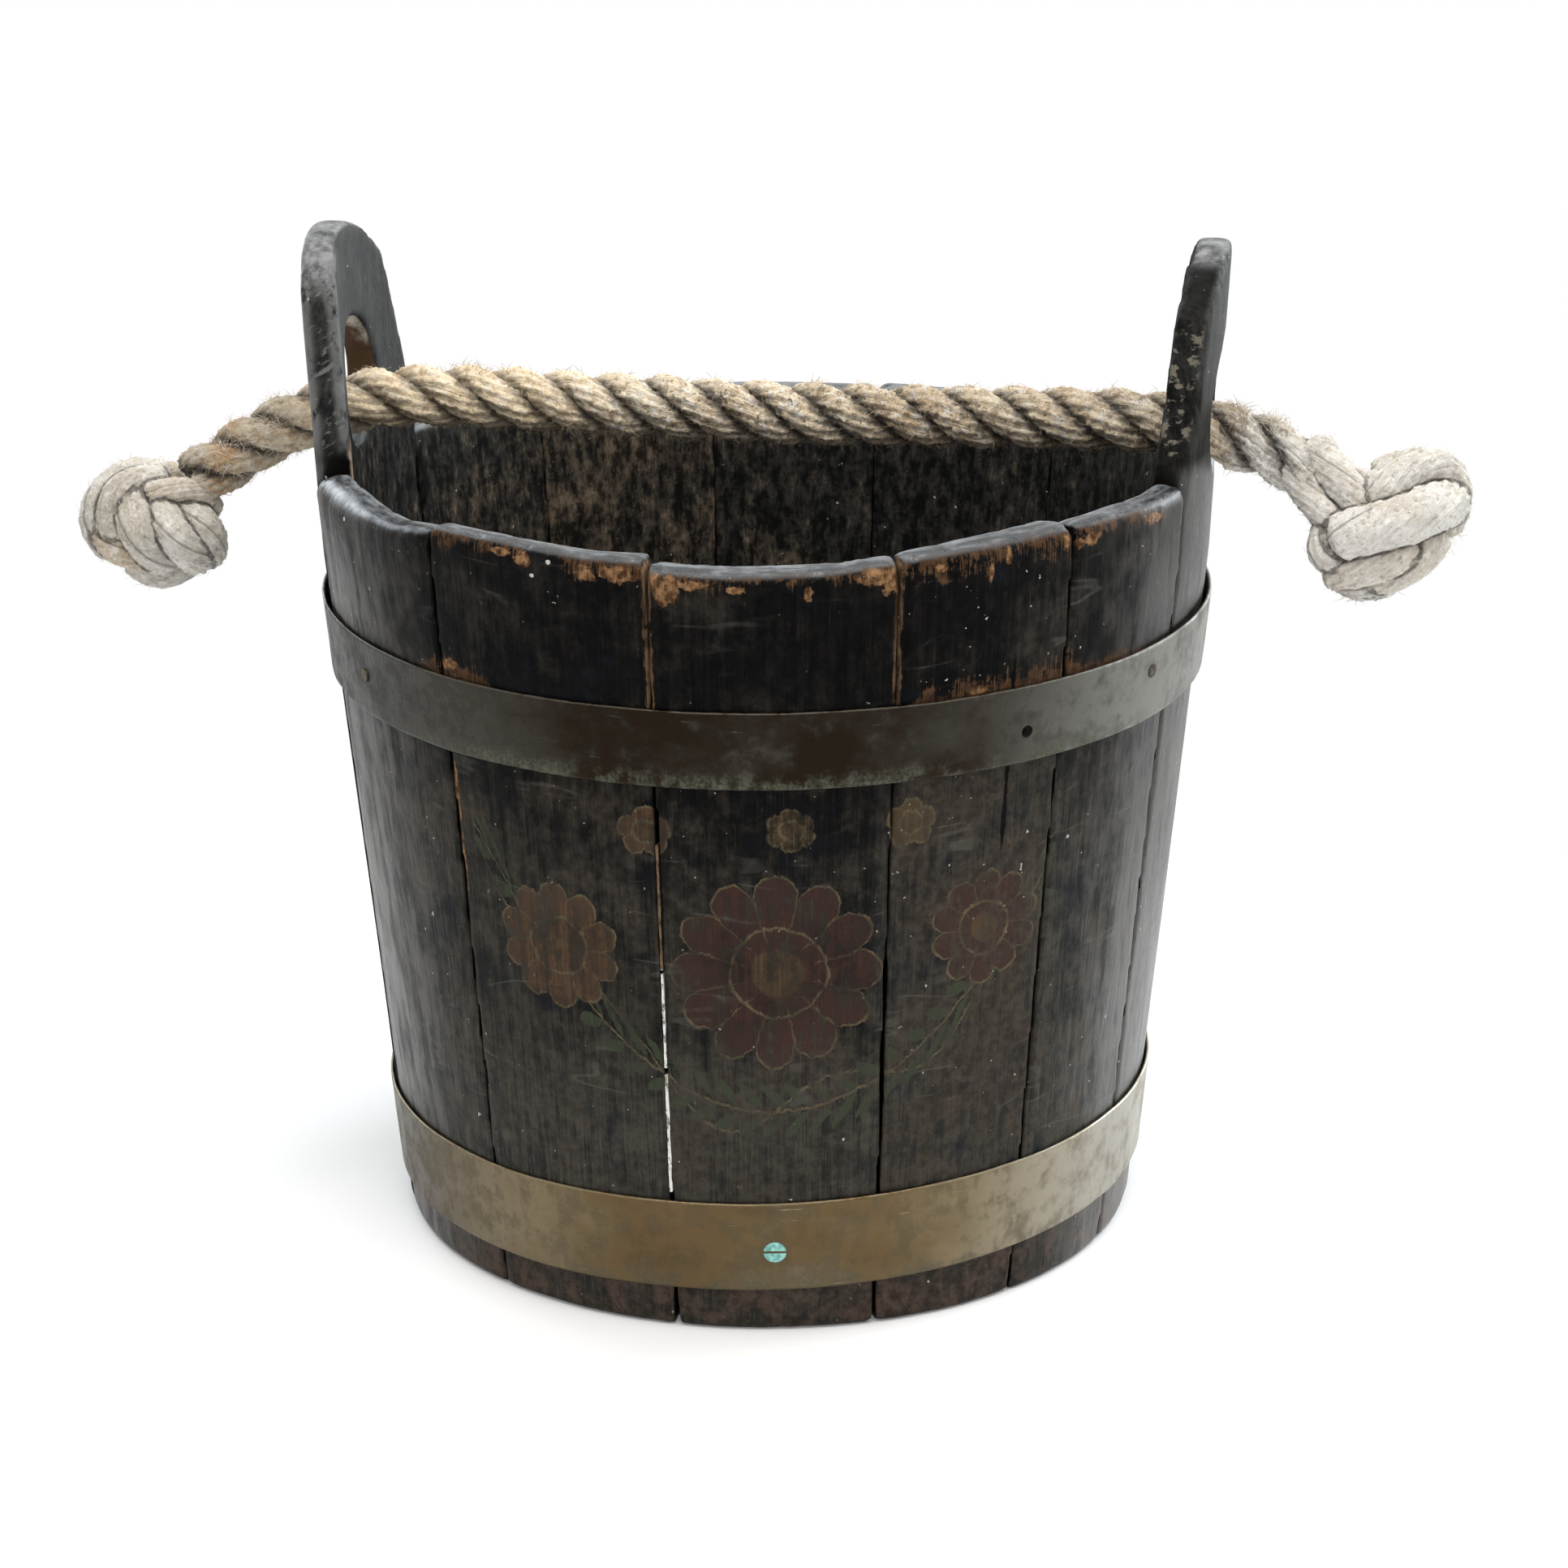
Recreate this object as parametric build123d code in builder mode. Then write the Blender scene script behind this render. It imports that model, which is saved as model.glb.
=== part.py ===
from build123d import *

import os
from math import cos, degrees, pi, radians, sin, tan

# A coopered oak bucket: tapered staves held by two brass hoops, a boarded base let into
# the staves, two staves carried up as ears, and a knotted rope lying through the ears.
# Millimetres. The origin is the middle of the foot, +Z is up, the front faces -Y and the
# ears stand on the X axis. Angles run from the front towards +X.

# Staves
foot_radius = 140.8
rim_radius = 168.3
rim_height = 294.0
stave_thickness = 13.0
rim_round = 4.0
foot_chamfer = 1.5
seam_gap = 0.3

# Seams between neighbouring staves, and how far each plain stave's end is worn below the rim
front_seams = [-70.5, -36.0, -6.0, 23.5, 47.0, 70.5]
front_wear = [1.0, 1.0, 5.5, 0.0, 1.0]
back_seams = [109.5, 140.0, 171.0, 196.0, 224.0, 250.5]
back_wear = [8.0, 9.5, 10.5, 10.0, 8.5]

# Ears
ear_rise = 81.0
ear_bend_drop = 32.0
ear_flare = 5.0
ear_shoulder_half_width = 40.0
ear_shoulder_rise = 62.0
ear_shoulder_round = 14.0
ear_hole_diameter = 47.0
ear_hole_rise = 21.2
ear_hole_wear = 2.5
ear_edge_round = 2.5

# Base boards and the groove that holds them
base_underside = 16.0
base_thickness = 13.0
tongue_thickness = 7.0
croze_depth = 4.5
croze_clearance = 0.2
board_joints = [-46.0, 44.0]
board_gap = 0.3
dowel_diameter = 8.0
dowel_length = 40.0
dowel_spacing = 130.0
dowel_clearance = 0.05

# Hoops: strip width, and how far each hoop sits out of level, per unit towards +X and +Y
strip_thickness = 1.2
hoop_clearance = 0.2
upper_hoop_drop = 77.0
upper_hoop_width = 28.5
upper_hoop_tilt = (0.0, 0.029)
lower_hoop_height = 20.2
lower_hoop_width = 35.7
lower_hoop_tilt = (0.021, 0.024)
lap_length = 42.0
lap_angle = 180.0

# Rivets through the laps
rivet_head_diameter = 8.0
rivet_head_height = 2.2
rivet_shank_diameter = 4.5
rivet_pitch = 14.0
rivet_clearance = 0.05
rivet_seat = 0.1

# The slotted screw in the lower hoop
screw_angle = 8.7
screw_rise = 13.1
screw_head_diameter = 8.2
screw_shank_diameter = 4.0
screw_length = 12.0
screw_slot_width = 1.0
screw_slot_depth = 0.8
screw_proud = 0.3
screw_clearance = 0.1

# Nails in the upper hoop, and one hole whose nail is lost: angle and rise of each over the
# hoop's lower edge
nail_places = [(-53.3, 12.6), (64.2, 16.6)]
lost_nail_place = (41.3, 8.2)
nail_head_diameter = 5.0
nail_head_thickness = 0.8
nail_shank_diameter = 2.4
nail_length = 11.0
nail_clearance = 0.05
lost_nail_hole_diameter = 4.0

# Rope: diameter, the room under it in the ear holes, and the route of its middle line as
# X and height over its lowest seat, from the neck of the left knot to that of the right one
rope_diameter = 24.0
rope_room = 0.4
rope_route = [
    (-219.0, -29.3),
    (-197.0, -13.3),
    (-165.0, 1.6),
    (-132.0, 7.2),
    (-60.0, 5.8),
    (20.0, 3.6),
    (110.0, 4.9),
    (146.0, 3.9),
    (172.0, -0.8),
    (198.5, -10.8),
    (220.0, -25.6),
]
bend_share = 0.45

# Stopper knots: across and along the rope, and the shape of their ends
left_knot_diameter = 60.0
left_knot_length = 49.0
right_knot_diameter = 63.0
right_knot_length = 42.0
knot_end_diameter = 30.0
knot_slope = 13.0
knot_round = 9.0

os.makedirs("parts", exist_ok=True)

taper = (rim_radius - foot_radius) / rim_height
croze_height = base_underside + base_thickness / 2
groove_half = tongue_thickness / 2 + croze_clearance
upper_hoop_height = rim_height - upper_hoop_drop
screw_height = lower_hoop_height + screw_rise
ear_top = rim_height + ear_rise
ear_bend_height = rim_height - ear_bend_drop
ear_hole_height = rim_height + ear_hole_rise
rope_radius = rope_diameter / 2
rope_seat_height = ear_hole_height - ear_hole_diameter / 2 + rope_room + rope_radius


def outer_radius(height):
    """Radius of the staves' outer face at a height."""
    return foot_radius + taper * height


def inner_radius(height):
    return outer_radius(height) - stave_thickness


croze_radius = inner_radius(croze_height) + croze_depth
ear_top_radius = outer_radius(ear_bend_height) + ear_flare


def outward(angle):
    """Unit vector away from the axis at an angle from the front."""
    return Vector(sin(radians(angle)), -cos(radians(angle)), 0)


def radial_plane(angle):
    """Upright plane through the axis: X outwards, Y up."""
    return Plane(origin=(0, 0, 0), x_dir=outward(angle), z_dir=outward(angle).cross(Vector(0, 0, 1)))


def wall_plane(angle, height, proud):
    """Plane lying on the tapered wall, or that far proud of it, facing outwards."""
    place = outward(angle) * outer_radius(height) + Vector(0, 0, height)
    normal = outward(angle) - Vector(0, 0, taper)
    wall = Plane(origin=place, x_dir=Vector(0, 0, 1).cross(outward(angle)), z_dir=normal)
    return wall.offset(proud)


def stave_profile(top):
    """Section of a plain stave, from the foot to its rim, with the groove for the base."""
    low = croze_height - groove_half
    high = croze_height + groove_half
    return [
        (outer_radius(0), 0),
        (outer_radius(top), top),
        (inner_radius(top), top),
        (inner_radius(high), high),
        (croze_radius, high),
        (croze_radius, low),
        (inner_radius(low), low),
        (inner_radius(0), 0),
    ]


def ear_profile():
    """Section of an ear stave: upright above the bend, and as thick as the others."""
    points = stave_profile(ear_bend_height)
    ear = [(ear_top_radius, ear_top), (ear_top_radius - stave_thickness, ear_top)]
    return points[:2] + ear + points[2:]


def seam_angle(radius):
    """Angle that half the seam gap takes up."""
    return degrees(seam_gap / 2 / radius)


def keep(piece, name):
    piece.part.label = name
    export_step(piece.part, f"parts/{name}.step")


# Plain staves, front and back
def make_stave(start, end, wear, fastener_holes):
    top = rim_height - wear
    turn = seam_angle(foot_radius)
    with BuildPart() as stave:
        with BuildSketch(radial_plane(start + turn)) as section:
            with BuildLine():
                Polyline(*stave_profile(top), close=True)
            make_face()
            fillet(section.vertices().group_by(Axis.Y)[-1], rim_round)
            chamfer(section.vertices().group_by(Axis.Y)[0], foot_chamfer)
        revolve(axis=Axis.Z, revolution_arc=end - start - 2 * turn)
        for angle, height, diameter, depth in fastener_holes:
            if start < angle < end:
                with BuildSketch(wall_plane(angle, height, hoop_clearance)):
                    Circle(diameter / 2)
                extrude(amount=-depth, mode=Mode.SUBTRACT)
    return stave


screw_pilot = (screw_angle, screw_height, screw_shank_diameter + 2 * screw_clearance, screw_length)
nail_hole_diameter = nail_shank_diameter + 2 * nail_clearance
nail_spots = [(angle, upper_hoop_height + rise) for angle, rise in nail_places]
lost_nail_spot = (lost_nail_place[0], upper_hoop_height + lost_nail_place[1])
nail_pilots = [(*spot, nail_hole_diameter, nail_length) for spot in nail_spots]
lost_nail_pilot = (*lost_nail_spot, nail_shank_diameter, nail_length)
stave_holes = [screw_pilot, *nail_pilots, lost_nail_pilot]

for side, seams, wears in (("front", front_seams, front_wear), ("back", back_seams, back_wear)):
    for number, wear in enumerate(wears):
        stave = make_stave(seams[number], seams[number + 1], wear, stave_holes)
        keep(stave, f"{side}_stave_{number + 1}")


# Ear staves, each with an arched top and the hole that the rope lies in
def make_ear_stave(start, end, side):
    turn = seam_angle(foot_radius)
    shoulder = rim_height + ear_shoulder_rise
    root = rim_height - max(front_wear + back_wear)
    root_half_width = rim_radius * sin(radians(end - start) / 2)
    reach = ear_top_radius + stave_thickness
    with BuildPart() as ear:
        with BuildSketch(radial_plane(start + turn)) as section:
            with BuildLine():
                Polyline(*ear_profile(), close=True)
            make_face()
            chamfer(section.vertices().group_by(Axis.Y)[0], foot_chamfer)
        revolve(axis=Axis.Z, revolution_arc=end - start - 2 * turn)
        with BuildSketch(Plane.YZ) as outline:
            with BuildLine():
                right = (ear_shoulder_half_width, shoulder)
                left = (-ear_shoulder_half_width, shoulder)
                Polyline(
                    left,
                    (-root_half_width, root),
                    (-reach, root),
                    (-reach, 0),
                    (reach, 0),
                    (reach, root),
                    (root_half_width, root),
                    right,
                )
                ThreePointArc(right, (0, ear_top), left)
            make_face()
            shoulders = outline.vertices().filter_by_position(Axis.Y, shoulder - 1, shoulder + 1)
            fillet(shoulders, ear_shoulder_round)
        extrude(amount=side * reach, mode=Mode.INTERSECT)
        arch = ear.edges().filter_by(GeomType.LINE, reverse=True)
        fillet(arch.filter_by_position(Axis.Z, rim_height, ear_top), ear_edge_round)
        with BuildSketch(Plane.YZ):
            with Locations((0, ear_hole_height)):
                Circle(ear_hole_diameter / 2)
        extrude(amount=side * reach, mode=Mode.SUBTRACT)
        fillet(ear.edges(Select.LAST).filter_by(GeomType.LINE, reverse=True), ear_hole_wear)
    return ear


keep(make_ear_stave(front_seams[-1], back_seams[0], 1), "right_ear_stave")
keep(make_ear_stave(back_seams[-1], front_seams[0] + 360, -1), "left_ear_stave")


# Base boards, with a thinned edge that sits in the staves' groove
base_top = base_underside + base_thickness
tongue_low = croze_height - tongue_thickness / 2
tongue_high = croze_height + tongue_thickness / 2
base_radius = croze_radius - croze_clearance
shoulder_radius = inner_radius(base_underside) - croze_clearance
board_edges = [-base_radius - board_gap, *board_joints, base_radius + board_gap]
board_names = ["front_base_board", "middle_base_board", "back_base_board"]


def make_board(low_edge, high_edge):
    with BuildPart() as board:
        with BuildSketch(Plane.XZ):
            with BuildLine():
                Polyline(
                    (0, base_underside),
                    (shoulder_radius, base_underside),
                    (shoulder_radius, tongue_low),
                    (base_radius, tongue_low),
                    (base_radius, tongue_high),
                    (shoulder_radius, tongue_high),
                    (shoulder_radius, base_top),
                    (0, base_top),
                    close=True,
                )
            make_face()
        revolve(axis=Axis.Z)
        with BuildSketch(Plane.XY):
            with Locations((0, (low_edge + high_edge) / 2)):
                Rectangle(2 * base_radius + 1, high_edge - low_edge - board_gap)
        extrude(amount=base_top + 1, mode=Mode.INTERSECT)
        for joint in board_joints:
            with BuildSketch(Plane.XZ.offset(-joint)):
                with Locations((0, croze_height)):
                    with GridLocations(dowel_spacing, 1, 2, 1):
                        Circle(dowel_diameter / 2 + dowel_clearance)
            extrude(amount=dowel_length / 2 + board_gap, both=True, mode=Mode.SUBTRACT)
    return board


for number, name in enumerate(board_names):
    keep(make_board(board_edges[number], board_edges[number + 1]), name)

# Dowels across the two joints of the base
with BuildPart() as base_dowels:
    for joint in board_joints:
        with BuildSketch(Plane.XZ.offset(-joint)):
            with Locations((0, croze_height)):
                with GridLocations(dowel_spacing, 1, 2, 1):
                    Circle(dowel_diameter / 2)
        extrude(amount=dowel_length / 2, both=True)
keep(base_dowels, "base_dowels")


# Hoops: a tapered strip, its end lapped over its start at the back and riveted
def level_plane(height, tilt):
    """Nearly level plane at a height on the axis, rising by the tilt."""
    return Plane(origin=(0, 0, height), x_dir=(1, 0, tilt[0]), z_dir=(-tilt[0], -tilt[1], 1))


def strip_section(plane, low, high, proud):
    """Section of the strip between two heights, that far proud of the wall."""
    with BuildSketch(plane) as section:
        with BuildLine():
            Polyline(
                (outer_radius(low) + proud, low),
                (outer_radius(high) + proud, high),
                (outer_radius(high) + proud + strip_thickness, high),
                (outer_radius(low) + proud + strip_thickness, low),
                close=True,
            )
        make_face()
    return section.sketch


def rivet_heights(height, width, tilt):
    """Heights of the two rivets, on the strip's middle at the lap."""
    middle = height + width / 2 + (outward(lap_angle).Y * tilt[1]) * outer_radius(height)
    return [middle - rivet_pitch / 2, middle + rivet_pitch / 2]


def make_hoop(height, width, tilt, holes, countersinks):
    spare = (abs(tilt[0]) + abs(tilt[1])) * rim_radius
    low = height - spare
    high = height + width + spare
    lap_turn = degrees(lap_length / outer_radius(height))
    with BuildPart() as hoop:
        revolve(strip_section(radial_plane(0), low, high, hoop_clearance), axis=Axis.Z)
        lap_start = radial_plane(lap_angle - lap_turn / 2)
        lap_section = strip_section(lap_start, low, high, hoop_clearance + strip_thickness)
        revolve(lap_section, axis=Axis.Z, revolution_arc=lap_turn)
        with BuildSketch(level_plane(height, tilt)):
            Circle(2 * rim_radius)
        extrude(amount=width, mode=Mode.INTERSECT)
        for rivet in rivet_heights(height, width, tilt):
            with BuildSketch(wall_plane(lap_angle, rivet, 0)):
                Circle(rivet_shank_diameter / 2 + rivet_clearance)
            extrude(amount=stave_thickness, mode=Mode.SUBTRACT)
        for angle, hole_height, diameter in holes:
            with BuildSketch(wall_plane(angle, hole_height, 0)):
                Circle(diameter / 2)
            extrude(amount=stave_thickness, mode=Mode.SUBTRACT)
        for angle, sink_height, mouth, depth in countersinks:
            with BuildSketch(wall_plane(angle, sink_height, depth)):
                Circle(mouth / 2)
            extrude(amount=-depth, taper=45, mode=Mode.SUBTRACT)
    return hoop


nail_holes = [(*spot, nail_hole_diameter) for spot in nail_spots]
lost_nail_hole = (*lost_nail_spot, lost_nail_hole_diameter)
screw_head_depth = hoop_clearance + strip_thickness + screw_proud
screw_mouth = screw_head_diameter + 2 * screw_clearance
screw_sink = (screw_angle, screw_height, screw_mouth, screw_head_depth)
upper_hoop = make_hoop(
    upper_hoop_height, upper_hoop_width, upper_hoop_tilt, [*nail_holes, lost_nail_hole], []
)
keep(upper_hoop, "upper_hoop")
lower_hoop = make_hoop(lower_hoop_height, lower_hoop_width, lower_hoop_tilt, [], [screw_sink])
keep(lower_hoop, "lower_hoop")


# Rivets with low domed heads
def make_rivets(height, width, tilt):
    inside = hoop_clearance
    face = hoop_clearance + 2 * strip_thickness + rivet_seat
    dome = (rivet_head_diameter**2 / 4 + rivet_head_height**2) / (2 * rivet_head_height)
    with BuildPart() as rivets:
        for rivet in rivet_heights(height, width, tilt):
            with BuildSketch(wall_plane(lap_angle, rivet, inside)):
                Circle(rivet_shank_diameter / 2)
            extrude(amount=face - inside)
            seat = wall_plane(lap_angle, rivet, face)
            with BuildSketch(Plane(seat.origin, x_dir=seat.x_dir, z_dir=seat.y_dir)):
                with BuildLine():
                    edge = (rivet_head_diameter / 2, 0)
                    crown = (0, -rivet_head_height)
                    Line((0, 0), edge)
                    RadiusArc(edge, crown, dome)
                    Line(crown, (0, 0))
                make_face()
            revolve(axis=Axis(seat.origin, seat.z_dir))
    return rivets


upper_rivets = make_rivets(upper_hoop_height, upper_hoop_width, upper_hoop_tilt)
keep(upper_rivets, "upper_hoop_rivets")
lower_rivets = make_rivets(lower_hoop_height, lower_hoop_width, lower_hoop_tilt)
keep(lower_rivets, "lower_hoop_rivets")

# The slotted screw, sunk in the lower hoop and driven into the front stave
with BuildPart() as hoop_screw:
    screw_face = wall_plane(screw_angle, screw_height, screw_head_depth)
    with BuildSketch(screw_face):
        Circle(screw_head_diameter / 2)
    extrude(amount=-screw_head_depth, taper=45)
    with BuildSketch(screw_face):
        Circle(screw_shank_diameter / 2)
    extrude(amount=-screw_length)
    with BuildSketch(screw_face):
        Rectangle(screw_head_diameter, screw_slot_width)
    extrude(amount=-screw_slot_depth, mode=Mode.SUBTRACT)
keep(hoop_screw, "hoop_screw")

# Nails through the upper hoop, their flat heads on the strip
with BuildPart() as hoop_nails:
    nail_seat = hoop_clearance + strip_thickness + rivet_seat
    for angle, height in nail_spots:
        with BuildSketch(wall_plane(angle, height, nail_seat)):
            Circle(nail_head_diameter / 2)
        extrude(amount=nail_head_thickness)
        with BuildSketch(wall_plane(angle, height, nail_seat)):
            Circle(nail_shank_diameter / 2)
        extrude(amount=-nail_length)
keep(hoop_nails, "upper_hoop_nails")

# Rope handle: one length from knot to knot, its bends as large as its runs allow
route = [Vector(x, 0, rope_seat_height + rise) for x, rise in rope_route]
bend_radii = []
for before, corner, after in zip(route, route[1:], route[2:]):
    turn = radians((corner - before).get_angle(after - corner))
    shorter = min((corner - before).length, (after - corner).length)
    bend_radii.append(bend_share * shorter / tan(turn / 2))
print("rope bend radii, mm:", [round(radius) for radius in bend_radii])

with BuildPart() as rope_handle:
    with BuildLine() as rope_line:
        FilletPolyline(*route, radius=bend_radii)
    with BuildSketch(Plane(origin=route[0], z_dir=route[1] - route[0])):
        Circle(rope_radius)
    sweep(path=rope_line.wire())
rope_length = rope_line.wire().length
print("rope length between the knots, mm:", round(rope_length, 1))
print("rope volume over section times length:", rope_handle.part.volume / (pi * rope_radius**2 * rope_length))
keep(rope_handle, "rope_handle")


# Stopper knots: rounded buttons, flat where the rope enters
def make_knot(neck, inner, diameter, length):
    radius = diameter / 2
    along = (neck - inner).normalized()
    with BuildPart() as knot:
        with BuildSketch(Plane(origin=neck, x_dir=along, z_dir=(0, -1, 0))) as section:
            with BuildLine():
                Polyline(
                    (0, 0),
                    (0, rope_radius),
                    (knot_slope, radius),
                    (length - knot_slope, radius),
                    (length, knot_end_diameter / 2),
                    (length, 0),
                    close=True,
                )
            make_face()
            corners = section.vertices().filter_by_position(Axis.X, knot_slope / 2, length)
            fillet(corners.filter_by_position(Axis.Y, rope_radius, radius), knot_round)
        revolve(axis=Axis(neck, along))
    return knot


left_knot = make_knot(route[0], route[1], left_knot_diameter, left_knot_length)
keep(left_knot, "left_stopper_knot")
right_knot = make_knot(route[-1], route[-2], right_knot_diameter, right_knot_length)
keep(right_knot, "right_stopper_knot")
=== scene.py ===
# %% [markdown]
# # A coopered bucket with a rope handle
#
# The real thing is a tapered oak bucket: twelve staves, two of them longer and pierced as ears,
# two brass hoops, and a thick laid rope with a stopper knot on each end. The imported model
# gives the exact solids. This lesson dresses them: it wears the wood, dents the brass, lays
# the rope's strands and paints every surface with nodes.

from math import atan, cos, pi, radians, sin
from types import SimpleNamespace

import bmesh
import bpy
import numpy as np
from mathutils import Matrix, Vector


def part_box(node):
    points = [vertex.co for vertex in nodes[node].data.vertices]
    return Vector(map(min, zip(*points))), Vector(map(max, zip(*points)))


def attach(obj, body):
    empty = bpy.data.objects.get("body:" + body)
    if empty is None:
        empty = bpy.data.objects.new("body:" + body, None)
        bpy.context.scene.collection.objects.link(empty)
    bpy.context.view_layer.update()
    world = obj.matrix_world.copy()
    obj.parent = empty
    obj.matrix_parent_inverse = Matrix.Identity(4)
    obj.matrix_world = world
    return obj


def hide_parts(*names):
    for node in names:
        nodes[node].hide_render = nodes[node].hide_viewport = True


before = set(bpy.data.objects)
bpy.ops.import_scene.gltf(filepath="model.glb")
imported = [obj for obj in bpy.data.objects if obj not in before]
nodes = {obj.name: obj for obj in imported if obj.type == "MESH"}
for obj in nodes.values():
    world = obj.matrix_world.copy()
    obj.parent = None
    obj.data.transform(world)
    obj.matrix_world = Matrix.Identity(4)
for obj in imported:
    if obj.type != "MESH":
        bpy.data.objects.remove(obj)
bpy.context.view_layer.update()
MM = 0.001

# %% [markdown]
# ## Camera
# The camera stands a little above the rim and slightly to the bucket's right. Its distance
# and lens were found from the curves of the hoops and the rim, so they are kept as sizes.

# %% Camera
camera_distance = 1.4244
camera_height = 0.62827
camera_bearing = radians(8.0)
camera_pitch = radians(18.132)
camera_yaw = radians(0.254)
camera_roll = radians(-0.2247)
camera_lens = 89.86
sensor_width = 36.0


def add_object(name, data):
    """New object with this data, in the scene."""
    made = bpy.data.objects.new(name, data)
    bpy.context.scene.collection.objects.link(made)
    return made


heading = camera_bearing - camera_yaw
level_share = cos(camera_pitch)
ahead = Vector((-sin(heading) * level_share, cos(heading) * level_share, -sin(camera_pitch)))
level = Vector((cos(heading), sin(heading), 0))
above = level.cross(ahead)
right = cos(camera_roll) * level + sin(camera_roll) * above
upward = cos(camera_roll) * above - sin(camera_roll) * level

camera_data = bpy.data.cameras.new("camera")
camera_data.lens = camera_lens
camera_data.sensor_width = sensor_width
camera = add_object("camera", camera_data)
place = Vector((
    camera_distance * sin(camera_bearing),
    -camera_distance * cos(camera_bearing),
    camera_height,
))
camera.matrix_world = Matrix((right, upward, -ahead)).transposed().to_4x4()
camera.matrix_world.translation = place
bpy.context.scene.camera = camera
print("camera at", [round(v, 3) for v in place])

# %% [markdown]
# ## Node trees as expressions
# A finish is easier to read as arithmetic than as a tangle of links. The class below wraps
# one socket: an operator adds a Math node, and `node` adds any other node. It serves shader
# trees and geometry trees alike.


# %% A socket that can be calculated with
class Wire:
    def __init__(self, tree, socket=None):
        self.tree = tree
        self.socket = socket

    def node(self, kind, settings=None, inputs=None, out=0):
        made = self.tree.nodes.new(kind)
        for name, value in (settings or {}).items():
            setattr(made, name, value)
        for name, value in (inputs or {}).items():
            if isinstance(value, Wire):
                self.tree.links.new(value.socket, made.inputs[name])
            else:
                made.inputs[name].default_value = value
        return Wire(self.tree, made.outputs[out] if made.outputs else None)

    def math(self, operation, *values):
        inputs = dict(enumerate(values))
        return self.node("ShaderNodeMath", {"operation": operation}, inputs)

    def __add__(self, other):
        return self.math("ADD", self, other)

    def __sub__(self, other):
        return self.math("SUBTRACT", self, other)

    def __rsub__(self, other):
        return self.math("SUBTRACT", other, self)

    def __mul__(self, other):
        return self.math("MULTIPLY", self, other)

    def __truediv__(self, other):
        return self.math("DIVIDE", self, other)

    def __pow__(self, other):
        return self.math("POWER", self, other)

    def __abs__(self):
        return self.math("ABSOLUTE", self)

    __radd__ = __add__
    __rmul__ = __mul__

    def split(self):
        """The three numbers of this vector."""
        parts = self.node("ShaderNodeSeparateXYZ", None, {0: self}).socket.node
        return [Wire(self.tree, output) for output in parts.outputs]

    def rise(self, low, high):
        """0 below low, 1 above high, smooth between; low above high falls instead."""
        ends = (1.0, 0.0) if low > high else (0.0, 1.0)
        names = ("From Min", "From Max", "To Min", "To Max")
        limits = dict(zip(names, (min(low, high), max(low, high), *ends)))
        settings = {"interpolation_type": "SMOOTHSTEP"}
        return self.node("ShaderNodeMapRange", settings, {"Value": self, **limits})

    def blend(self, first, second):
        """Colour that goes from the first to the second as this value goes from 0 to 1."""
        colours = [(*c, 1.0) if isinstance(c, tuple) else c for c in (first, second)]
        inputs = {0: self, 6: colours[0], 7: colours[1]}
        return self.node("ShaderNodeMix", {"data_type": "RGBA"}, inputs, out=2)

    def noise(self, detail=4.0, roughness=0.6, scale=1.0):
        """Soft noise over this vector."""
        inputs = {"Vector": self, "Scale": scale, "Detail": detail, "Roughness": roughness}
        return self.node("ShaderNodeTexNoise", {"normalize": True}, inputs)

    def vector(self, x, y, z):
        return self.node("ShaderNodeCombineXYZ", None, {0: x, 1: y, 2: z})

    def bump(self, height, distance, strength=1.0):
        inputs = {"Height": height, "Distance": distance, "Strength": strength}
        return self.node("ShaderNodeBump", None, inputs)

    def attribute(self, name, out=2):
        return self.node("ShaderNodeAttribute", {"attribute_name": name}, None, out)


def make_material(name, recipe, polished=None, **constants):
    """Material whose recipe returns the sockets that vary; the rest are set once.

    A recipe that also returns Polish mixes in the same finish with a shinier surface."""
    material = bpy.data.materials.new(name)
    material.use_nodes = True
    tree = material.node_tree
    tree.nodes.clear()
    start = Wire(tree)
    sockets = {key.replace("_", " "): value for key, value in constants.items()}
    sockets.update(recipe(start))
    polish = sockets.pop("Polish", None)
    shader = start.node("ShaderNodeBsdfPrincipled", None, sockets)
    if polish:
        brighter = {**sockets, "Specular IOR Level": polished}
        shiny = start.node("ShaderNodeBsdfPrincipled", None, brighter)
        shader = start.node("ShaderNodeMixShader", None, {0: polish, 1: shader, 2: shiny})
    start.node("ShaderNodeOutputMaterial", None, {"Surface": shader})
    print("material", name, "with", len(tree.nodes), "nodes")
    return material


# %% [markdown]
# ## Light and floor
# The bucket stood on a white ground between two bright sides. A white world shows to the
# camera and to reflections, and two wide lamps and a softer one above light the object. Near
# the bucket the floor is lit like anything else, with a little glow that keeps it white and
# lets the shadow show. Further off it fades to the plain white of the world.

# %% World, lamps and floor
scene = bpy.context.scene
scene.view_settings.view_transform = "Standard"
room_level = 0.42
white = (1, 1, 1, 1)


def white_for_the_eye(start):
    """1 on what the camera sees, straight, mirrored or through glass, and 0 on other light."""
    rays = ("Is Camera Ray", "Is Glossy Ray", "Is Transmission Ray")
    seen = [start.node("ShaderNodeLightPath", out=ray) for ray in rays]
    return (seen[0] + seen[1] + seen[2]).rise(0.0, 1.0)


world = bpy.data.worlds.new("white_room")
scene.world = world
world.use_nodes = True
world.node_tree.nodes.clear()
room = Wire(world.node_tree)
strength = room_level + (1 - room_level) * white_for_the_eye(room)
backdrop = room.node("ShaderNodeBackground", None, {"Color": white, "Strength": strength})
room.node("ShaderNodeOutputWorld", None, {"Surface": backdrop})

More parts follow.
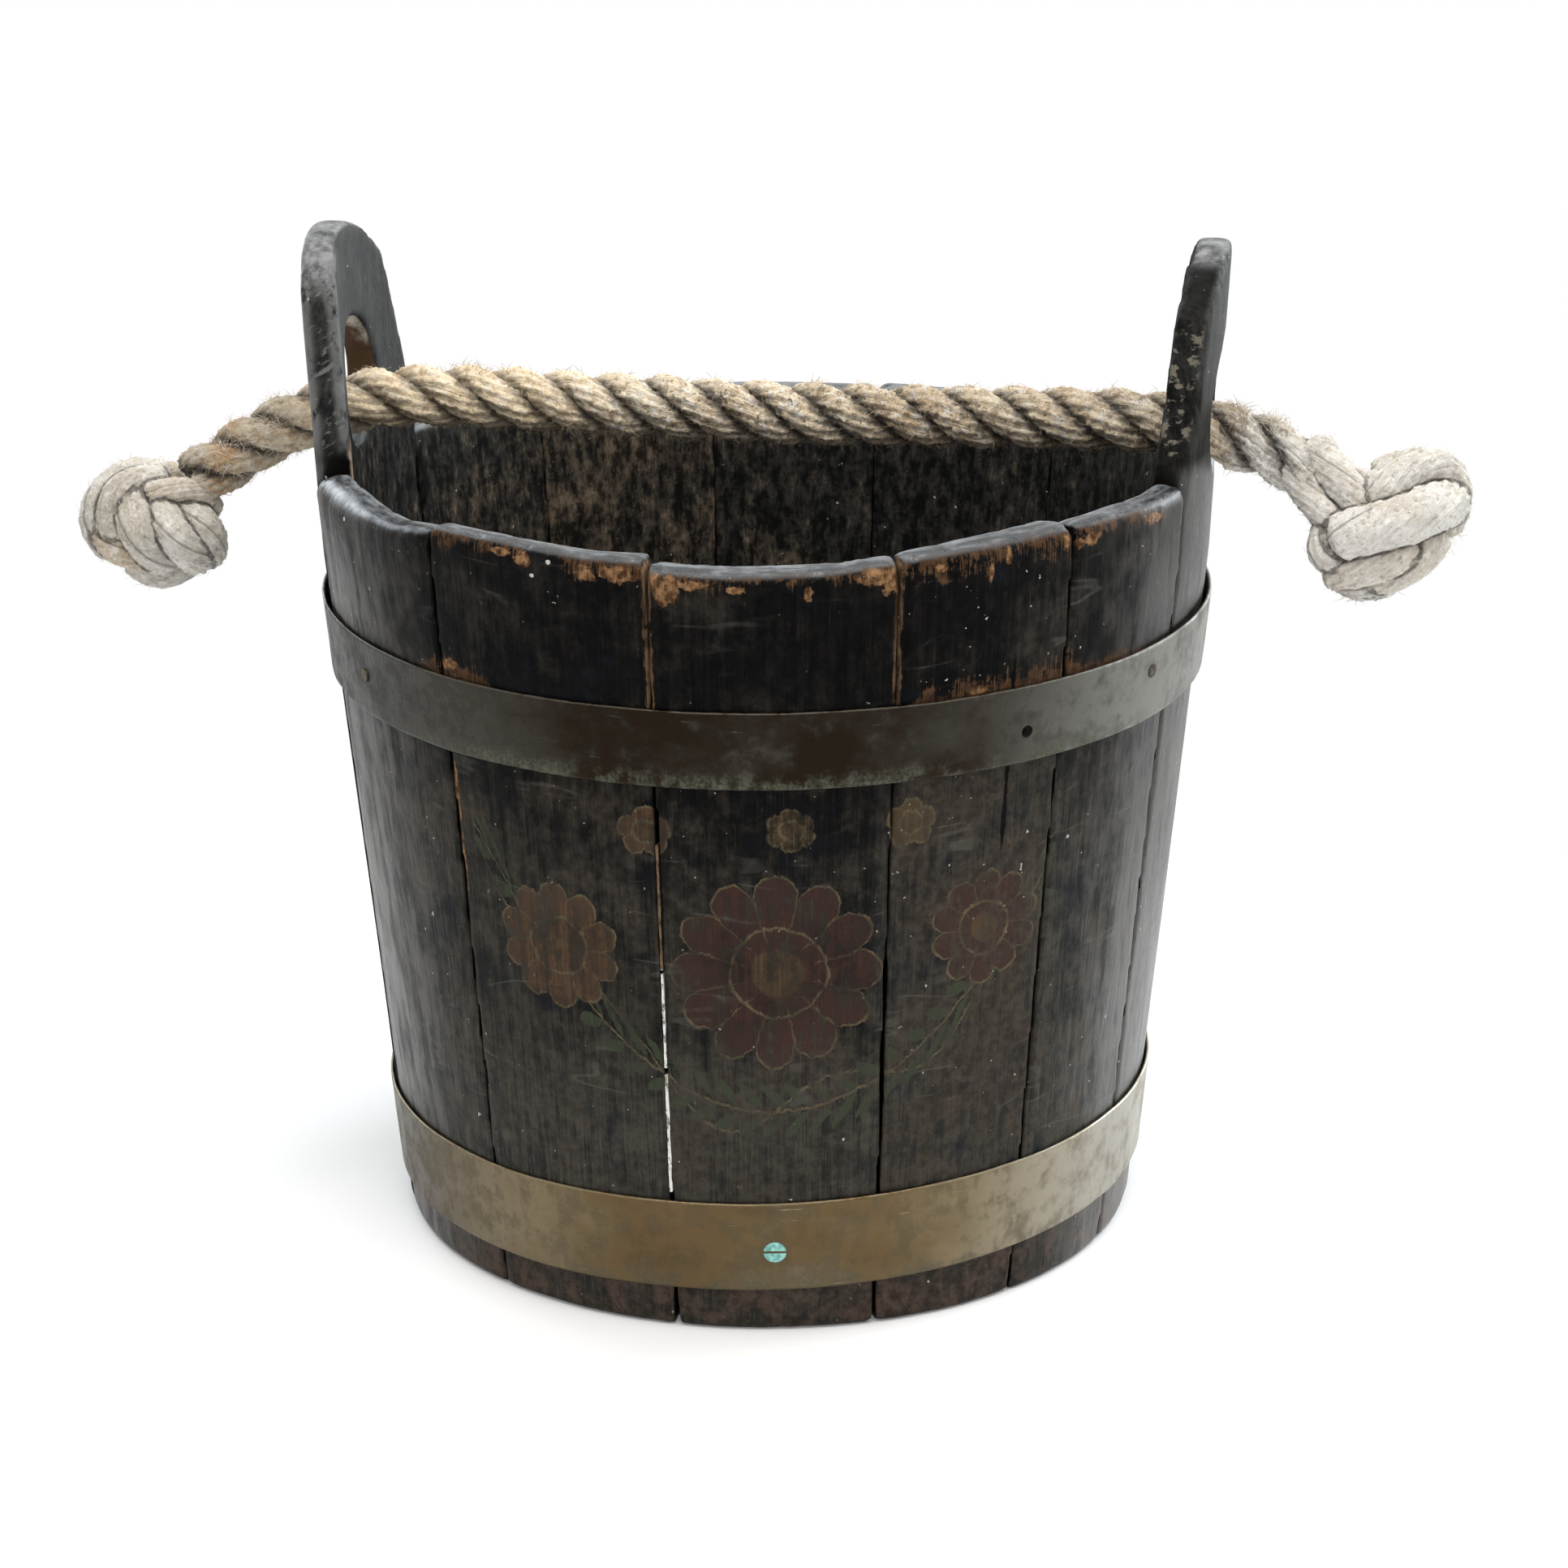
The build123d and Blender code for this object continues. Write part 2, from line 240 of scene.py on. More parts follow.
lamp_target = Vector((0, 0, 0.2))
lamps = [  # name, place, size, watts, colour
    ("left_window", (-1.12, 1.10, 0.85), (0.9, 1.4), 15, (0.85, 0.93, 1.0)),
    ("right_window", (1.25, 1.05, 0.85), (1.5, 1.4), 35, (0.88, 0.95, 1.0)),
    ("ceiling", (0.1, -0.45, 1.7), (1.4, 1.4), 30, (1.0, 0.98, 0.95)),
]
for name, position, size, power, colour in lamps:
    lamp = bpy.data.lights.new(name, "AREA")
    lamp.shape = "RECTANGLE"
    lamp.size, lamp.size_y = size
    lamp.energy = power
    lamp.color = colour
    holder = add_object(name, lamp)
    holder.location = position
    holder.rotation_euler = (lamp_target - Vector(position)).to_track_quat("-Z", "Y").to_euler()

floor_reach = 4.0
paper_glow = 0.12
paper_colour = (0.9, 0.9, 0.9, 1)
shadow_reach = (0.26, 0.55)
floor_mesh = bpy.data.meshes.new("floor")
turns = ((-1, -1), (1, -1), (1, 1), (-1, 1))
corners = [(east * floor_reach, north * floor_reach, 0) for east, north in turns]
floor_mesh.from_pydata(corners, [], [(0, 1, 2, 3)])
floor = add_object("floor", floor_mesh)
paper = bpy.data.materials.new("white_paper")
paper.use_nodes = True
paper.node_tree.nodes.clear()
start = Wire(paper.node_tree)
matt = start.node("ShaderNodeBsdfDiffuse", None, {"Color": paper_colour})
shown = white_for_the_eye(start)
glow = start.node("ShaderNodeEmission", None, {"Color": white, "Strength": shown * paper_glow})
lit = start.node("ShaderNodeAddShader", None, {0: matt, 1: glow})
plain = start.node("ShaderNodeEmission", None, {"Color": white, "Strength": 1.0})
east, north, _ = start.node("ShaderNodeTexCoord", out="Object").split()
far = ((east * east + north * north) ** 0.5).rise(*shadow_reach)
both = start.node("ShaderNodeMixShader", None, {0: far * shown, 1: lit, 2: plain})
start.node("ShaderNodeOutputMaterial", None, {"Surface": both})
floor_mesh.materials.append(paper)
print("floor and lamps set")

# %% [markdown]
# ## Geometry trees
# Rope, hoops, fibres and the wear of the wood each follow a rule, so each is a Geometry
# Nodes tree with named sizes. The helpers below open a tree, close it, and run it on a mesh
# to leave a plain mesh behind.


# %% Helpers for geometry trees
def new_tree(name, sockets):
    """Geometry tree with these named inputs, and the wire and group input to build from."""
    tree = bpy.data.node_groups.new(name, "GeometryNodeTree")
    tree.interface.new_socket("Geometry", in_out="INPUT", socket_type="NodeSocketGeometry")
    for label, kind in sockets.items():
        tree.interface.new_socket(label, in_out="INPUT", socket_type=kind)
    tree.interface.new_socket("Geometry", in_out="OUTPUT", socket_type="NodeSocketGeometry")
    entry = tree.nodes.new("NodeGroupInput")
    given = {socket.name: Wire(tree, socket) for socket in entry.outputs if socket.name}
    return tree, Wire(tree), given


def end_tree(start, geometry, material):
    """Ends a tree: instances made real and the material set."""
    solid = start.node("GeometryNodeRealizeInstances", None, {0: geometry})
    dressed = start.node("GeometryNodeSetMaterial", None, {0: solid, "Material": material})
    start.node("NodeGroupOutput", None, {0: dressed})
    print("tree", start.tree.name, "with", len(start.tree.nodes), "nodes")


def kept_value(start, name):
    """Number that each point carries under this name."""
    return start.node("GeometryNodeInputNamedAttribute", {"data_type": "FLOAT"}, {"Name": name})


def store(start, geometry, name, value):
    """Geometry whose points carry this number under this name."""
    settings = {"data_type": "FLOAT", "domain": "POINT"}
    inputs = {0: geometry, "Name": name, "Value": value}
    return start.node("GeometryNodeStoreNamedAttribute", settings, inputs)


def moved(start, geometry, offset):
    return start.node("GeometryNodeSetPosition", None, {0: geometry, "Offset": offset})


def times(start, vector, amount):
    settings = {"operation": "SCALE"}
    return start.node("ShaderNodeVectorMath", settings, {0: vector, "Scale": amount})


def evaluated_mesh(holder):
    """Plain mesh of an object as its modifiers leave it."""
    depsgraph = bpy.context.evaluated_depsgraph_get()
    return bpy.data.meshes.new_from_object(holder.evaluated_get(depsgraph))


def run_tree(name, mesh, tree, values):
    """Plain mesh object that the tree makes from this mesh."""
    holder = add_object(name, mesh)
    modifier = holder.modifiers.new(tree.name, "NODES")
    modifier.node_group = tree
    for item in tree.interface.items_tree:
        if item.in_out == "INPUT" and item.name in values:
            modifier[item.identifier] = values[item.name]
    made = evaluated_mesh(holder)
    holder.modifiers.clear()
    holder.data = made
    made.name = name
    print(name, "has", len(made.vertices), "points,", len(made.polygons), "faces")
    return holder


def vectors_of(items, name):
    """One row of three numbers for each item."""
    flat = np.empty(len(items) * 3)
    items.foreach_get(name, flat)
    return flat.reshape(-1, 3)


def points_of(mesh):
    return vectors_of(mesh.vertices, "co")


def keep_values(mesh, name, values):
    """Keeps a number for each point of the mesh, for a finish to read."""
    mesh.attributes.new(name, "FLOAT", "POINT").data.foreach_set("value", values)


def dress(mesh, material):
    """Makes this the mesh's only material."""
    mesh.materials.clear()
    mesh.materials.append(material)


FLOAT = "NodeSocketFloat"
INT = "NodeSocketInt"

# %% [markdown]
# ## Painted oak
# The staves were painted almost black and have worn for many years: brown wood shows in
# streaks along the grain, most under the rim and above the upper hoop, edges are rubbed bare,
# and the foot is reddish. The finish is worked out from where a point lies on the bucket: its
# angle round from the front, its height and its depth under the outside. Five values that the
# wearing step keeps on each mesh say which stave a point is on, how much it stands out, how
# far below the rim it lies, whether it faces out or in, and whether it faces up.

# %% Places on the bucket
foot_radius = 140.8
rim_radius = 168.3
rim_height = 294.0
stave_thickness = 13.0
taper = (rim_radius - foot_radius) / rim_height
arc_per_degree = 2.7
upper_hoop_foot = 217.0
upper_hoop_width = 28.5
upper_hoop_top = upper_hoop_foot + upper_hoop_width
upper_hoop_tilt = 0.029


def place_in_mm(start):
    """Object coordinates in mm."""
    return [part * 1000 for part in start.node("ShaderNodeTexCoord", out="Object").split()]


def angle_round(x, y):
    """Angle round from the front in degrees."""
    return x.math("ARCTAN2", x, y * -1) * (180 / pi)


def even_noise(place, fineness, detail, roughness):
    """Noise that is as fine in every direction."""
    x, y, z = (part * fineness for part in place)
    return x.vector(x, y, z).noise(detail, roughness)


def bucket_place(start):
    """Place in mm, angle round from the front in degrees, and depth under the outside in mm."""
    x, y, z = place_in_mm(start)
    angle = angle_round(x, y)
    depth = foot_radius + taper * z - (x * x + y * y) ** 0.5
    return x, y, z, angle, depth


def patch_at(angle, z, ragged, at_angle, at_z, width, height):
    """1 inside an oval patch with a ragged edge, 0 outside."""
    across = (angle - at_angle) * (arc_per_degree * 2 / width)
    along = (z - at_z) * (2 / height)
    far = (across * across + along * along) ** 0.5 + (ragged - 0.5) * 3.4
    return far.rise(1.1, 0.8)


def between(value, low, high, soft):
    """1 between two limits, with a soft fall outside them."""
    return value.rise(low - soft, low) * value.rise(high + soft, high)


print("the wall leans out", round(taper, 4), "mm for each mm up")

# %% [markdown]
# ## Painted ornament
# The front carries a faded ornament: three round flowers with three small ones above them, and
# a hanging garland of leaves with a thin gold ribbon. Every motif is a short formula in two
# coordinates, mm round the bucket and mm up it, measured from the middle flower. Noise bends
# the coordinates a little, so that the lines waver as a brush does. The paint is thin, so the
# grain and the wear break it up.

# %% Ornament
flower_angle = 9.0
flower_height = 139.0
garland_drop = -50.0
garland_rise = 0.0078
leaf_pitch = 8.5
ochre = (0.098, 0.066, 0.034)
orange_brown = (0.098, 0.056, 0.032)
red_brown = (0.058, 0.029, 0.023)
moss = (0.048, 0.060, 0.035)
gold = (0.135, 0.105, 0.060)
flowers = [  # mm to the right, mm up, petals, reach, colour
    (0.0, 4.0, 12, 37.0, red_brown),
    (-80.0, 8.0, 10, 24.0, orange_brown),
    (77.0, 14.0, 10, 22.0, red_brown),
    (-44.0, 56.0, 5, 9.0, orange_brown),
    (46.0, 58.0, 5, 9.0, ochre),
    (4.0, 58.0, 6, 8.0, ochre),
]


def flower(u, v, at_u, at_v, petals, reach):
    """Petals, outline and heart of a round flower."""
    right_way, up_way = u - at_u, v - at_v
    far = (right_way * right_way + up_way * up_way) ** 0.5
    bearing = right_way.math("ARCTAN2", right_way, up_way) * (petals / 2)
    wave = abs(bearing.math("COSINE", bearing))
    edge = reach * (0.74 + 0.26 * wave**0.55)
    petal = (edge - far).rise(-0.5, 0.5)
    outline = abs(far - edge).rise(0.8, 0.3)
    vein = wave.rise(0.16, 0.05) * petal * far.rise(reach * 0.3, reach * 0.36)
    heart = far.rise(reach * 0.27, reach * 0.24)
    ring = abs(far - reach * 0.46).rise(0.8, 0.3)
    return petal, (outline + vein * 0.6 + ring).rise(0.0, 1.0), heart


def garland(u, v):
    """Leaves each side of a hanging stem, and the stem with the ribbon that winds about it."""
    stem = v - (garland_drop + garland_rise * u * u)
    away = abs(stem)
    step = (u + away * 0.8) / leaf_pitch
    aside = abs(step.math("FRACT", step) - 0.5) * leaf_pitch
    blade = (away - 6.0) / 5.5
    leaf = (2.7 * (1 - blade * blade) - aside).rise(-0.3, 0.5)
    ribbon = abs(stem - 10.5 * (u / 13.0).math("SINE", u / 13.0)).rise(0.9, 0.4)
    reach = between(u, -112.0, 104.0, 2.0)
    return leaf * reach, (away.rise(0.9, 0.4) + ribbon) * reach


def ornament(wood):
    """Colour of the ornament and how strongly it shows."""
    u = (wood.angle - flower_angle) * arc_per_degree + (wood.patch - 0.5) * 7 + (wood.crumb - 0.5) * 2.5
    v = wood.z - flower_height + (wood.grain - 0.5) * 4 + (wood.scuff - 0.5) * 5
    leaf, lines = garland(u, v)
    colour = leaf.blend(gold, moss)
    shown = leaf * 0.7 + lines * 0.6
    for at_u, at_v, petals, reach, tint in flowers:
        petal, lines, heart = flower(u, v, at_u, at_v, petals, reach)
        colour = petal.blend(colour, tint)
        colour = (heart * 0.8).blend(colour, ochre)
        colour = lines.blend(colour, gold)
        shown = (shown + petal * 0.75 + lines * 0.5).rise(0.0, 1.0)
    fading = (wood.scuff * 0.8 + wood.crumb * 0.35 + wood.grain * 0.5).rise(0.98, 0.70) * 0.85 + 0.08
    broken = wood.streak.rise(0.64, 0.40) * 0.45 + 0.55
    return colour, shown * fading * broken


print("ornament of", len(flowers), "flowers")

# %% [markdown]
# ## What the paint reads
# Every part of the finish needs the same few values, so they are worked out once: the place
# on the bucket, what the wearing step kept on the mesh, and noises of several sizes. Grain and
# streak are drawn out along the stave, ripple makes the long wavy glints, and the others are
# scuffs, crumbs and specks.

# %% Place, wear and noises of the wood
front_middle = 6.0
back_seam = -109.5


def read_wood(start):
    x, y, z, angle, depth = bucket_place(start)
    kept = {name: start.attribute(name) for name in ("tone", "edge", "below", "facing", "upward")}
    along = (angle + angle.math("LESS_THAN", angle, back_seam) * 360) * arc_per_degree
    shift = kept["tone"] * 37
    noises = {
        "grain": start.vector(along * 0.34 + shift, z * 0.010, depth * 0.12).noise(5.0, 0.62),
        "streak": start.vector(along * 1.3 + shift, z * 0.045, depth * 0.4).noise(4.0, 0.66),
        "ripple": start.vector(along * 0.15 + z * 0.012, z * 0.022, shift).noise(3.0, 0.58),
        "fleck": start.vector(along * 0.26 + shift, z * 0.085, depth * 0.2).noise(5.0, 0.72),
        "patch": start.vector(x * 0.022, y * 0.022, z * 0.03).noise(4.0, 0.6),
        "scuff": start.vector(x * 0.13, y * 0.13, z * 0.085).noise(5.0, 0.68),
        "crumb": even_noise((x, y, z), 0.27, 4.0, 0.7),
        "speck": even_noise((x, y, z), 0.40, 2.0, 0.5),
    }
    places = {
        "x": x, "y": y, "z": z, "angle": angle, "depth": depth, "along": along, "shift": shift,
        "outside": kept["facing"].rise(0.2, 0.7),
        "inside": kept["facing"].rise(-0.2, -0.7),
        "over_hoop": z - upper_hoop_tilt * y - upper_hoop_top,
        "aside": abs(angle - front_middle),
    }
    return SimpleNamespace(start=start, **places, **kept, **noises)


# %% Faded paint
paint_black = ((0.0012, 0.0013, 0.0015), (0.0054, 0.0052, 0.0051))
# pale paint for the haze low down and for the painted sheen towards the sides
paint_hazed_and_sheen = ((0.0165, 0.0165, 0.0152), (0.0690, 0.0640, 0.0510))
paint_blue = (0.0110, 0.0128, 0.0185)
soaked_brown = ((0.028, 0.0195, 0.0145), (0.058, 0.0435, 0.0320))
hair_brown = (0.075, 0.040, 0.022)
scratch_grey = (0.125, 0.120, 0.105)
foot_wood = ((0.020, 0.016, 0.013), (0.090, 0.062, 0.048))
scratch_leans = [0.10, -0.06]


def scratches(wood, lean, seed):
    """Thin stray lines at a slant to the grain, here and there."""
    run = wood.along * cos(lean) + wood.z * sin(lean)
    across = wood.z * cos(lean) - wood.along * sin(lean)
    level = wood.start.vector(run * 0.010, across * 0.055, seed).noise(2.0, 0.5)
    here = wood.start.vector(wood.along * 0.035, wood.z * 0.035, seed + 5.0).noise(2.0, 0.5)
    return abs(level - 0.5).rise(0.016, 0.005) * here.rise(0.56, 0.66)


def faded_paint(wood):
    """Black paint gone grey and hazy low down, with brown showing through, and painted paler towards
    the sides as painted sheen.
    """
    lines = wood.scuff * 0.26 + wood.crumb * 0.24 + wood.grain * 0.24 + wood.streak * 0.26
    # painted sheen: paler towards the sides, where the wall turns from the front, and not at the back
    painted_side_sheen = wood.aside.rise(14, 58) * wood.aside.rise(145, 112)
    haze_and_side_sheen = wood.z.rise(238, 160) * 0.42 + wood.z.rise(130, 60) * 0.75 + painted_side_sheen * 0.3
    haze_and_side_sheen = haze_and_side_sheen + (wood.patch - 0.5) * 1.3 + (wood.scuff - 0.5) * 0.8
    haze_and_side_sheen = haze_and_side_sheen + between(wood.angle, 24, 47, 4) * wood.z.rise(245, 205) * 0.4
    dark = lines.rise(0.40, 0.60).blend(*paint_black)
    pale = lines.rise(0.39, 0.61).blend(*paint_hazed_and_sheen)
    colour = haze_and_side_sheen.rise(0.0, 1.0).blend(dark, pale)
    blue = (wood.patch * 0.6 + wood.scuff * 0.4).rise(0.47, 0.36)
    colour = (blue * 0.45).blend(colour, paint_blue)
    browned = between(wood.angle, 24, 46, 2) * wood.z.rise(228, 200) * 0.10
    soaked = (wood.grain * 0.4 + wood.patch * 0.6 + wood.scuff * 0.45 + browned).rise(0.68, 0.94)
    soaked = soaked * (0.7 - wood.over_hoop.rise(-20, 10) * 0.5)
    colour = soaked.blend(colour, wood.crumb.rise(0.36, 0.64).blend(*soaked_brown))
    hairline = wood.streak.rise(0.62, 0.72) * wood.grain.rise(0.45, 0.6)
    colour = (hairline * 0.5).blend(colour, hair_brown)
    for number, lean in enumerate(scratch_leans):
        scratched = scratches(wood, lean, 3.0 * number) * haze_and_side_sheen.rise(-0.2, 0.5)
        colour = (scratched * 0.3).blend(colour, scratch_grey)
    at_foot = wood.z.rise(24, 14) * wood.scuff.rise(0.32, 0.6) * 0.85
    foot = (wood.scuff * 0.6 + wood.crumb * 0.4).rise(0.40, 0.62).blend(*foot_wood)
    return at_foot.blend(colour, foot)


print("paint with", len(scratch_leans), "sets of scratches")

# %% Wear under the rim and over the hoop
rusty_wood = ((0.018, 0.0105, 0.007), (0.115, 0.062, 0.031))
bare_tan = ((0.060, 0.027, 0.012), (0.33, 0.185, 0.090))
seam_tan = ((0.040, 0.025, 0.015), (0.20, 0.125, 0.070))
# from and to which angle the wood is rubbed, and how many mm of it
rim_wear = [(-35.5, -22, 7), (-16, -6.5, 9), (-5.5, 5, 7), (6, 19, 5), (24, 46.5, 10), (47, 61, 6)]
hoop_wear = [(-37, -30, 7), (28, 47, 8), (47, 60, 4)]
# angle and height of each chip, and its width and height
rim_chips = [
    (-5.1, 288.0, 4, 9), (-3.6, 283.0, 8, 10), (-0.5, 285.5, 9, 3), (4.5, 284.0, 6, 3),
    (12.8, 282.5, 2.5, 6), (21.0, 288.5, 12, 8), (22.6, 285.0, 6, 9), (-24.7, 291.5, 7, 3),
    (-21.7, 290.0, 6, 4.5), (-13.4, 287.5, 7, 5), (-9.3, 288.0, 11, 6), (28.5, 289.0, 4, 3),
    (35.0, 285.0, 1.6, 7), (37.3, 290.0, 2, 5), (45.8, 291.5, 3, 6), (49.5, 290.5, 9, 5),
    (62.3, 291.0, 12, 4), (34.2, 243.0, 6, 3), (-34.5, 246.0, 8, 4), (-35.3, 197.0, 1.8, 26),
    (-35.2, 172.0, 1.4, 24),
]
# angle of each tight seam, and the height from which it is tight
tan_seams = {-6.0: 245.0, 23.5: 145.0}


def bare_wood(wood):
    """Rubbed wood and how much of it shows, then knocked-off chips and how much of them shows."""
    reach = sum(between(wood.angle, low, high, 1.5) * length for low, high, length in rim_wear)
    ragged = (wood.streak * 0.6 + wood.scuff * 0.7 + wood.crumb * 0.4).rise(0.68, 1.02)
    rubbed = (ragged * reach * 1.25 - wood.below).rise(0.0, 2.5)
    climb = sum(between(wood.angle, low, high, 3.0) * length for low, high, length in hoop_wear)
    low_rub = (ragged * climb * 1.2 - wood.over_hoop).rise(0.0, 2.0) * wood.over_hoop.rise(-4.0, -2.0)
    rubbed = rubbed.math("MAXIMUM", rubbed, low_rub)
    rust = (wood.streak * 0.5 + wood.crumb * 0.5).rise(0.36, 0.66).blend(*rusty_wood)
    chipped = None
    for at_angle, at_z, width, height in rim_chips:
        chip = patch_at(wood.angle, wood.z, wood.crumb, at_angle, at_z, width, height)
        chipped = chip if chipped is None else chipped.math("MAXIMUM", chipped, chip)
    tan = (wood.streak * 0.25 + wood.speck * 0.4 + wood.crumb * 0.35).rise(0.40, 0.60).blend(*bare_tan)
    return rust, rubbed, tan, chipped


def tan_joints(wood):
    """Two tight joints that show as tan lines above the upper hoop."""
    gaps = [abs(wood.angle - seam) * arc_per_degree + (wood.crumb - 0.5) * 2.5 for seam in tan_seams]
    near = gaps[0].math("MINIMUM", *gaps).rise(1.7, 0.8)
    above = wood.over_hoop.rise(-2.0, 1.0) * wood.depth.rise(9.0, 6.0)
    return near * above * wood.scuff.rise(0.34, 0.5)


print("wood rubbed in", len(rim_wear) + len(hoop_wear), "places, with", len(rim_chips), "chips")

# %% Inside, rim and ears
inner_black = ((0.0052, 0.0054, 0.0052), (0.0340, 0.0325, 0.0290))
inner_brown = ((0.020, 0.0155, 0.0112), (0.145, 0.110, 0.078))
inner_tan = (0.200, 0.160, 0.118)
# from and to which angle the inside is browner, or blacker, and by how much; browner at the back left
# is partly painted light, blacker at the back right is painted shade
inner_browner = [(-163.5, -136.5, 0.13), (-136, -110, 0.07), (109.5, 180, -0.08)]
ear_bare = (0.42, 0.32, 0.235)
# worn grey of the rim's top, with painted sheen
rim_grey_and_sheen = ((0.010, 0.011, 0.012), (0.185, 0.198, 0.210))
ear_left = ((0.008, 0.0082, 0.0080), (0.046, 0.047, 0.045))
ear_right = ((0.0050, 0.0048, 0.0043), (0.029, 0.028, 0.026))
# painted reflection of the window on the right ear's outer face
ear_outer_sheen = ((0.035, 0.036, 0.034), (0.085, 0.087, 0.082))
# painted shade on the right ear's upward slope
ear_slope_shade = (0.0035, 0.0035, 0.0034)
# worn grey of the ears' tops, with painted sheen
ear_top_wear_and_sheen = ((0.060, 0.061, 0.062), (0.26, 0.265, 0.265))
ear_fleck = (0.30, 0.265, 0.21)
hole_brown = (0.080, 0.048, 0.028)
# painted reflection on the upper wall of the holes
hole_reflection = (0.55, 0.53, 0.49)
# pale of scratches and rubbed edges, also used for the painted highlight on the left ear's front edge
ear_scratch_and_highlight = (0.165, 0.168, 0.165)


def inner_wood(wood):
    """Bare inside, black with brown in blotches, most on one stave; browner at the back left, partly
    painted light, and blacker at the back right, painted shade.
    """
    browner = sum(between(wood.angle, low, high, 1.0) * more for low, high, more in inner_browner)
    brown = (wood.patch * 0.6 + wood.scuff * 0.5 + wood.fleck * 0.3 + browner).rise(0.68, 1.0)
    spotted = (wood.fleck * 0.6 + wood.crumb * 0.4).rise(0.42, 0.60)
    colour = brown.blend(spotted.blend(*inner_black), spotted.blend(*inner_brown))
    flakes = wood.fleck.rise(0.58, 0.68) * wood.crumb.rise(0.46, 0.58) * (brown * 0.6 + 0.3)
    colour = flakes.blend(colour, inner_tan)
    beside_rope = between(wood.angle, -79, -71, 1.0) * between(wood.z, 250, 298, 6)
    beside_rope = beside_rope * wood.scuff.rise(0.32, 0.46)
    return (beside_rope * 0.8).blend(colour, ear_bare)


def ear_paint(wood):
    """Ears: hand-worn grey on the left one, black with pale flecks on the right one's edge, with paint
    for light: worn tops with painted sheen, a painted highlight on the left one's front edge, painted
    shade on the right one's upward slope, and painted reflection on its outer face and in the holes.
    """
    right_one = wood.x.rise(-20, 20)
    worn = (wood.scuff * 0.8 + wood.streak * 0.5).rise(0.52, 0.86)
    colour = right_one.blend(worn.blend(*ear_left), worn.blend(*ear_right))
    narrow = (wood.facing * wood.facing + wood.upward * wood.upward).rise(0.5, 0.2)
    chips = wood.start.vector(wood.depth * 0.20, wood.z * 0.24, wood.shift).noise(4.0, 0.65)
    chips = chips.rise(0.53, 0.61) * between(wood.z, 308, 348, 6) * narrow * right_one
    colour = (chips * 0.5).blend(colour, ear_fleck)
    run, rise = wood.depth * 0.10 + wood.z * 0.05, wood.z * 0.32 - wood.depth * 0.2
    slant = wood.start.vector(run, rise, 4.0).noise(3.0, 0.6)
    scraped = slant.rise(0.57, 0.66) * narrow * (1 - right_one)
    colour = (scraped * 0.8).blend(colour, ear_scratch_and_highlight)
    # painted shade: the right ear's upward-facing slope is painted near black
    colour = (wood.upward.rise(0.3, 0.7) * right_one * 0.6).blend(colour, ear_slope_shade)
    # painted reflection: high up, the right ear's outer face is painted paler grey, as the window seen
    # in it
    outer_face_sheen = wood.outside * right_one * wood.z.rise(316, 342)
    colour = (outer_face_sheen * 0.75).blend(colour, worn.blend(*ear_outer_sheen))
    rubbed = wood.edge.rise(0.35, 0.8) * (wood.scuff + wood.crumb * 0.5).rise(0.62, 0.92)
    colour = (rubbed * (0.6 - right_one * 0.35)).blend(colour, ear_scratch_and_highlight)
    # painted highlight: a thin pale line along the left ear's front edge
    front_edge_highlight = wood.edge.rise(0.15, 0.5) * wood.y.rise(-18, -30) * wood.scuff.rise(0.34, 0.5)
    colour = (front_edge_highlight * (1 - right_one) * 0.7).blend(colour, ear_scratch_and_highlight)
    hole = (wood.facing * wood.facing).rise(0.5, 0.2)
    hole = hole * abs(wood.y).rise(25.5, 24.5) * wood.z.rise(354, 352)
    # painted reflection: the upper wall of each hole is painted pale, as the bright room mirrored in
    # the rope-polished wood
    higher = (wood.z + (wood.scuff - 0.5) * 30).rise(326, 338)
    colour = (hole * (1 - right_one * 0.6)).blend(colour, higher.blend(hole_brown, hole_reflection))
    # worn grey and painted sheen: upward faces are painted pale, all over the left ear and only at the
    # crest of the right one
    bleached = right_one.math("MAXIMUM", 1 - right_one, wood.z.rise(368, 373))
    top = (wood.scuff * 0.6 + wood.crumb * 0.4).rise(0.36, 0.64).blend(*ear_top_wear_and_sheen)
    return (wood.upward.rise(0.35, 0.85) * bleached).blend(colour, top)


print("inside browner or blacker in", len(inner_browner), "places")

# %% Paint recipe
crack_angle = 39.0
# black of the crack beside the lost nail, also used for the painted shade on the left ear stave
crack_and_shade_black = (0.0012, 0.0012, 0.0012)
joint_black = (0.0030, 0.0028, 0.0026)
dust_white = (0.62, 0.60, 0.55)
white_spots = [(-55.5, 286.0), (-18.0, 290.0), (-20.3, 284.5)]
spot_size = 1.7


def marked(wood, body):
    """Body colour with a crack beside the lost nail, three white spots and dust."""
    crack = abs(wood.angle - crack_angle) * arc_per_degree + (wood.scuff - 0.5) * 2.5
    cracked = crack.rise(1.1, 0.5) * between(wood.over_hoop, -55, 8, 9) * wood.outside
    body = cracked.blend(body, crack_and_shade_black)
    ragged = wood.speck * 0.3 + 0.35
    for at_angle, at_z in white_spots:
        spot = patch_at(wood.angle, wood.z, ragged, at_angle, at_z, spot_size, spot_size)
        body = (spot * wood.outside * 0.85).blend(body, dust_white)
    dusty = between(wood.angle, 27, 40, 6) * between(wood.z, 90, 285, 10) * 0.02
    dust = (wood.speck + dusty).rise(0.745, 0.775)
    return (dust * 0.7).blend(body, dust_white)


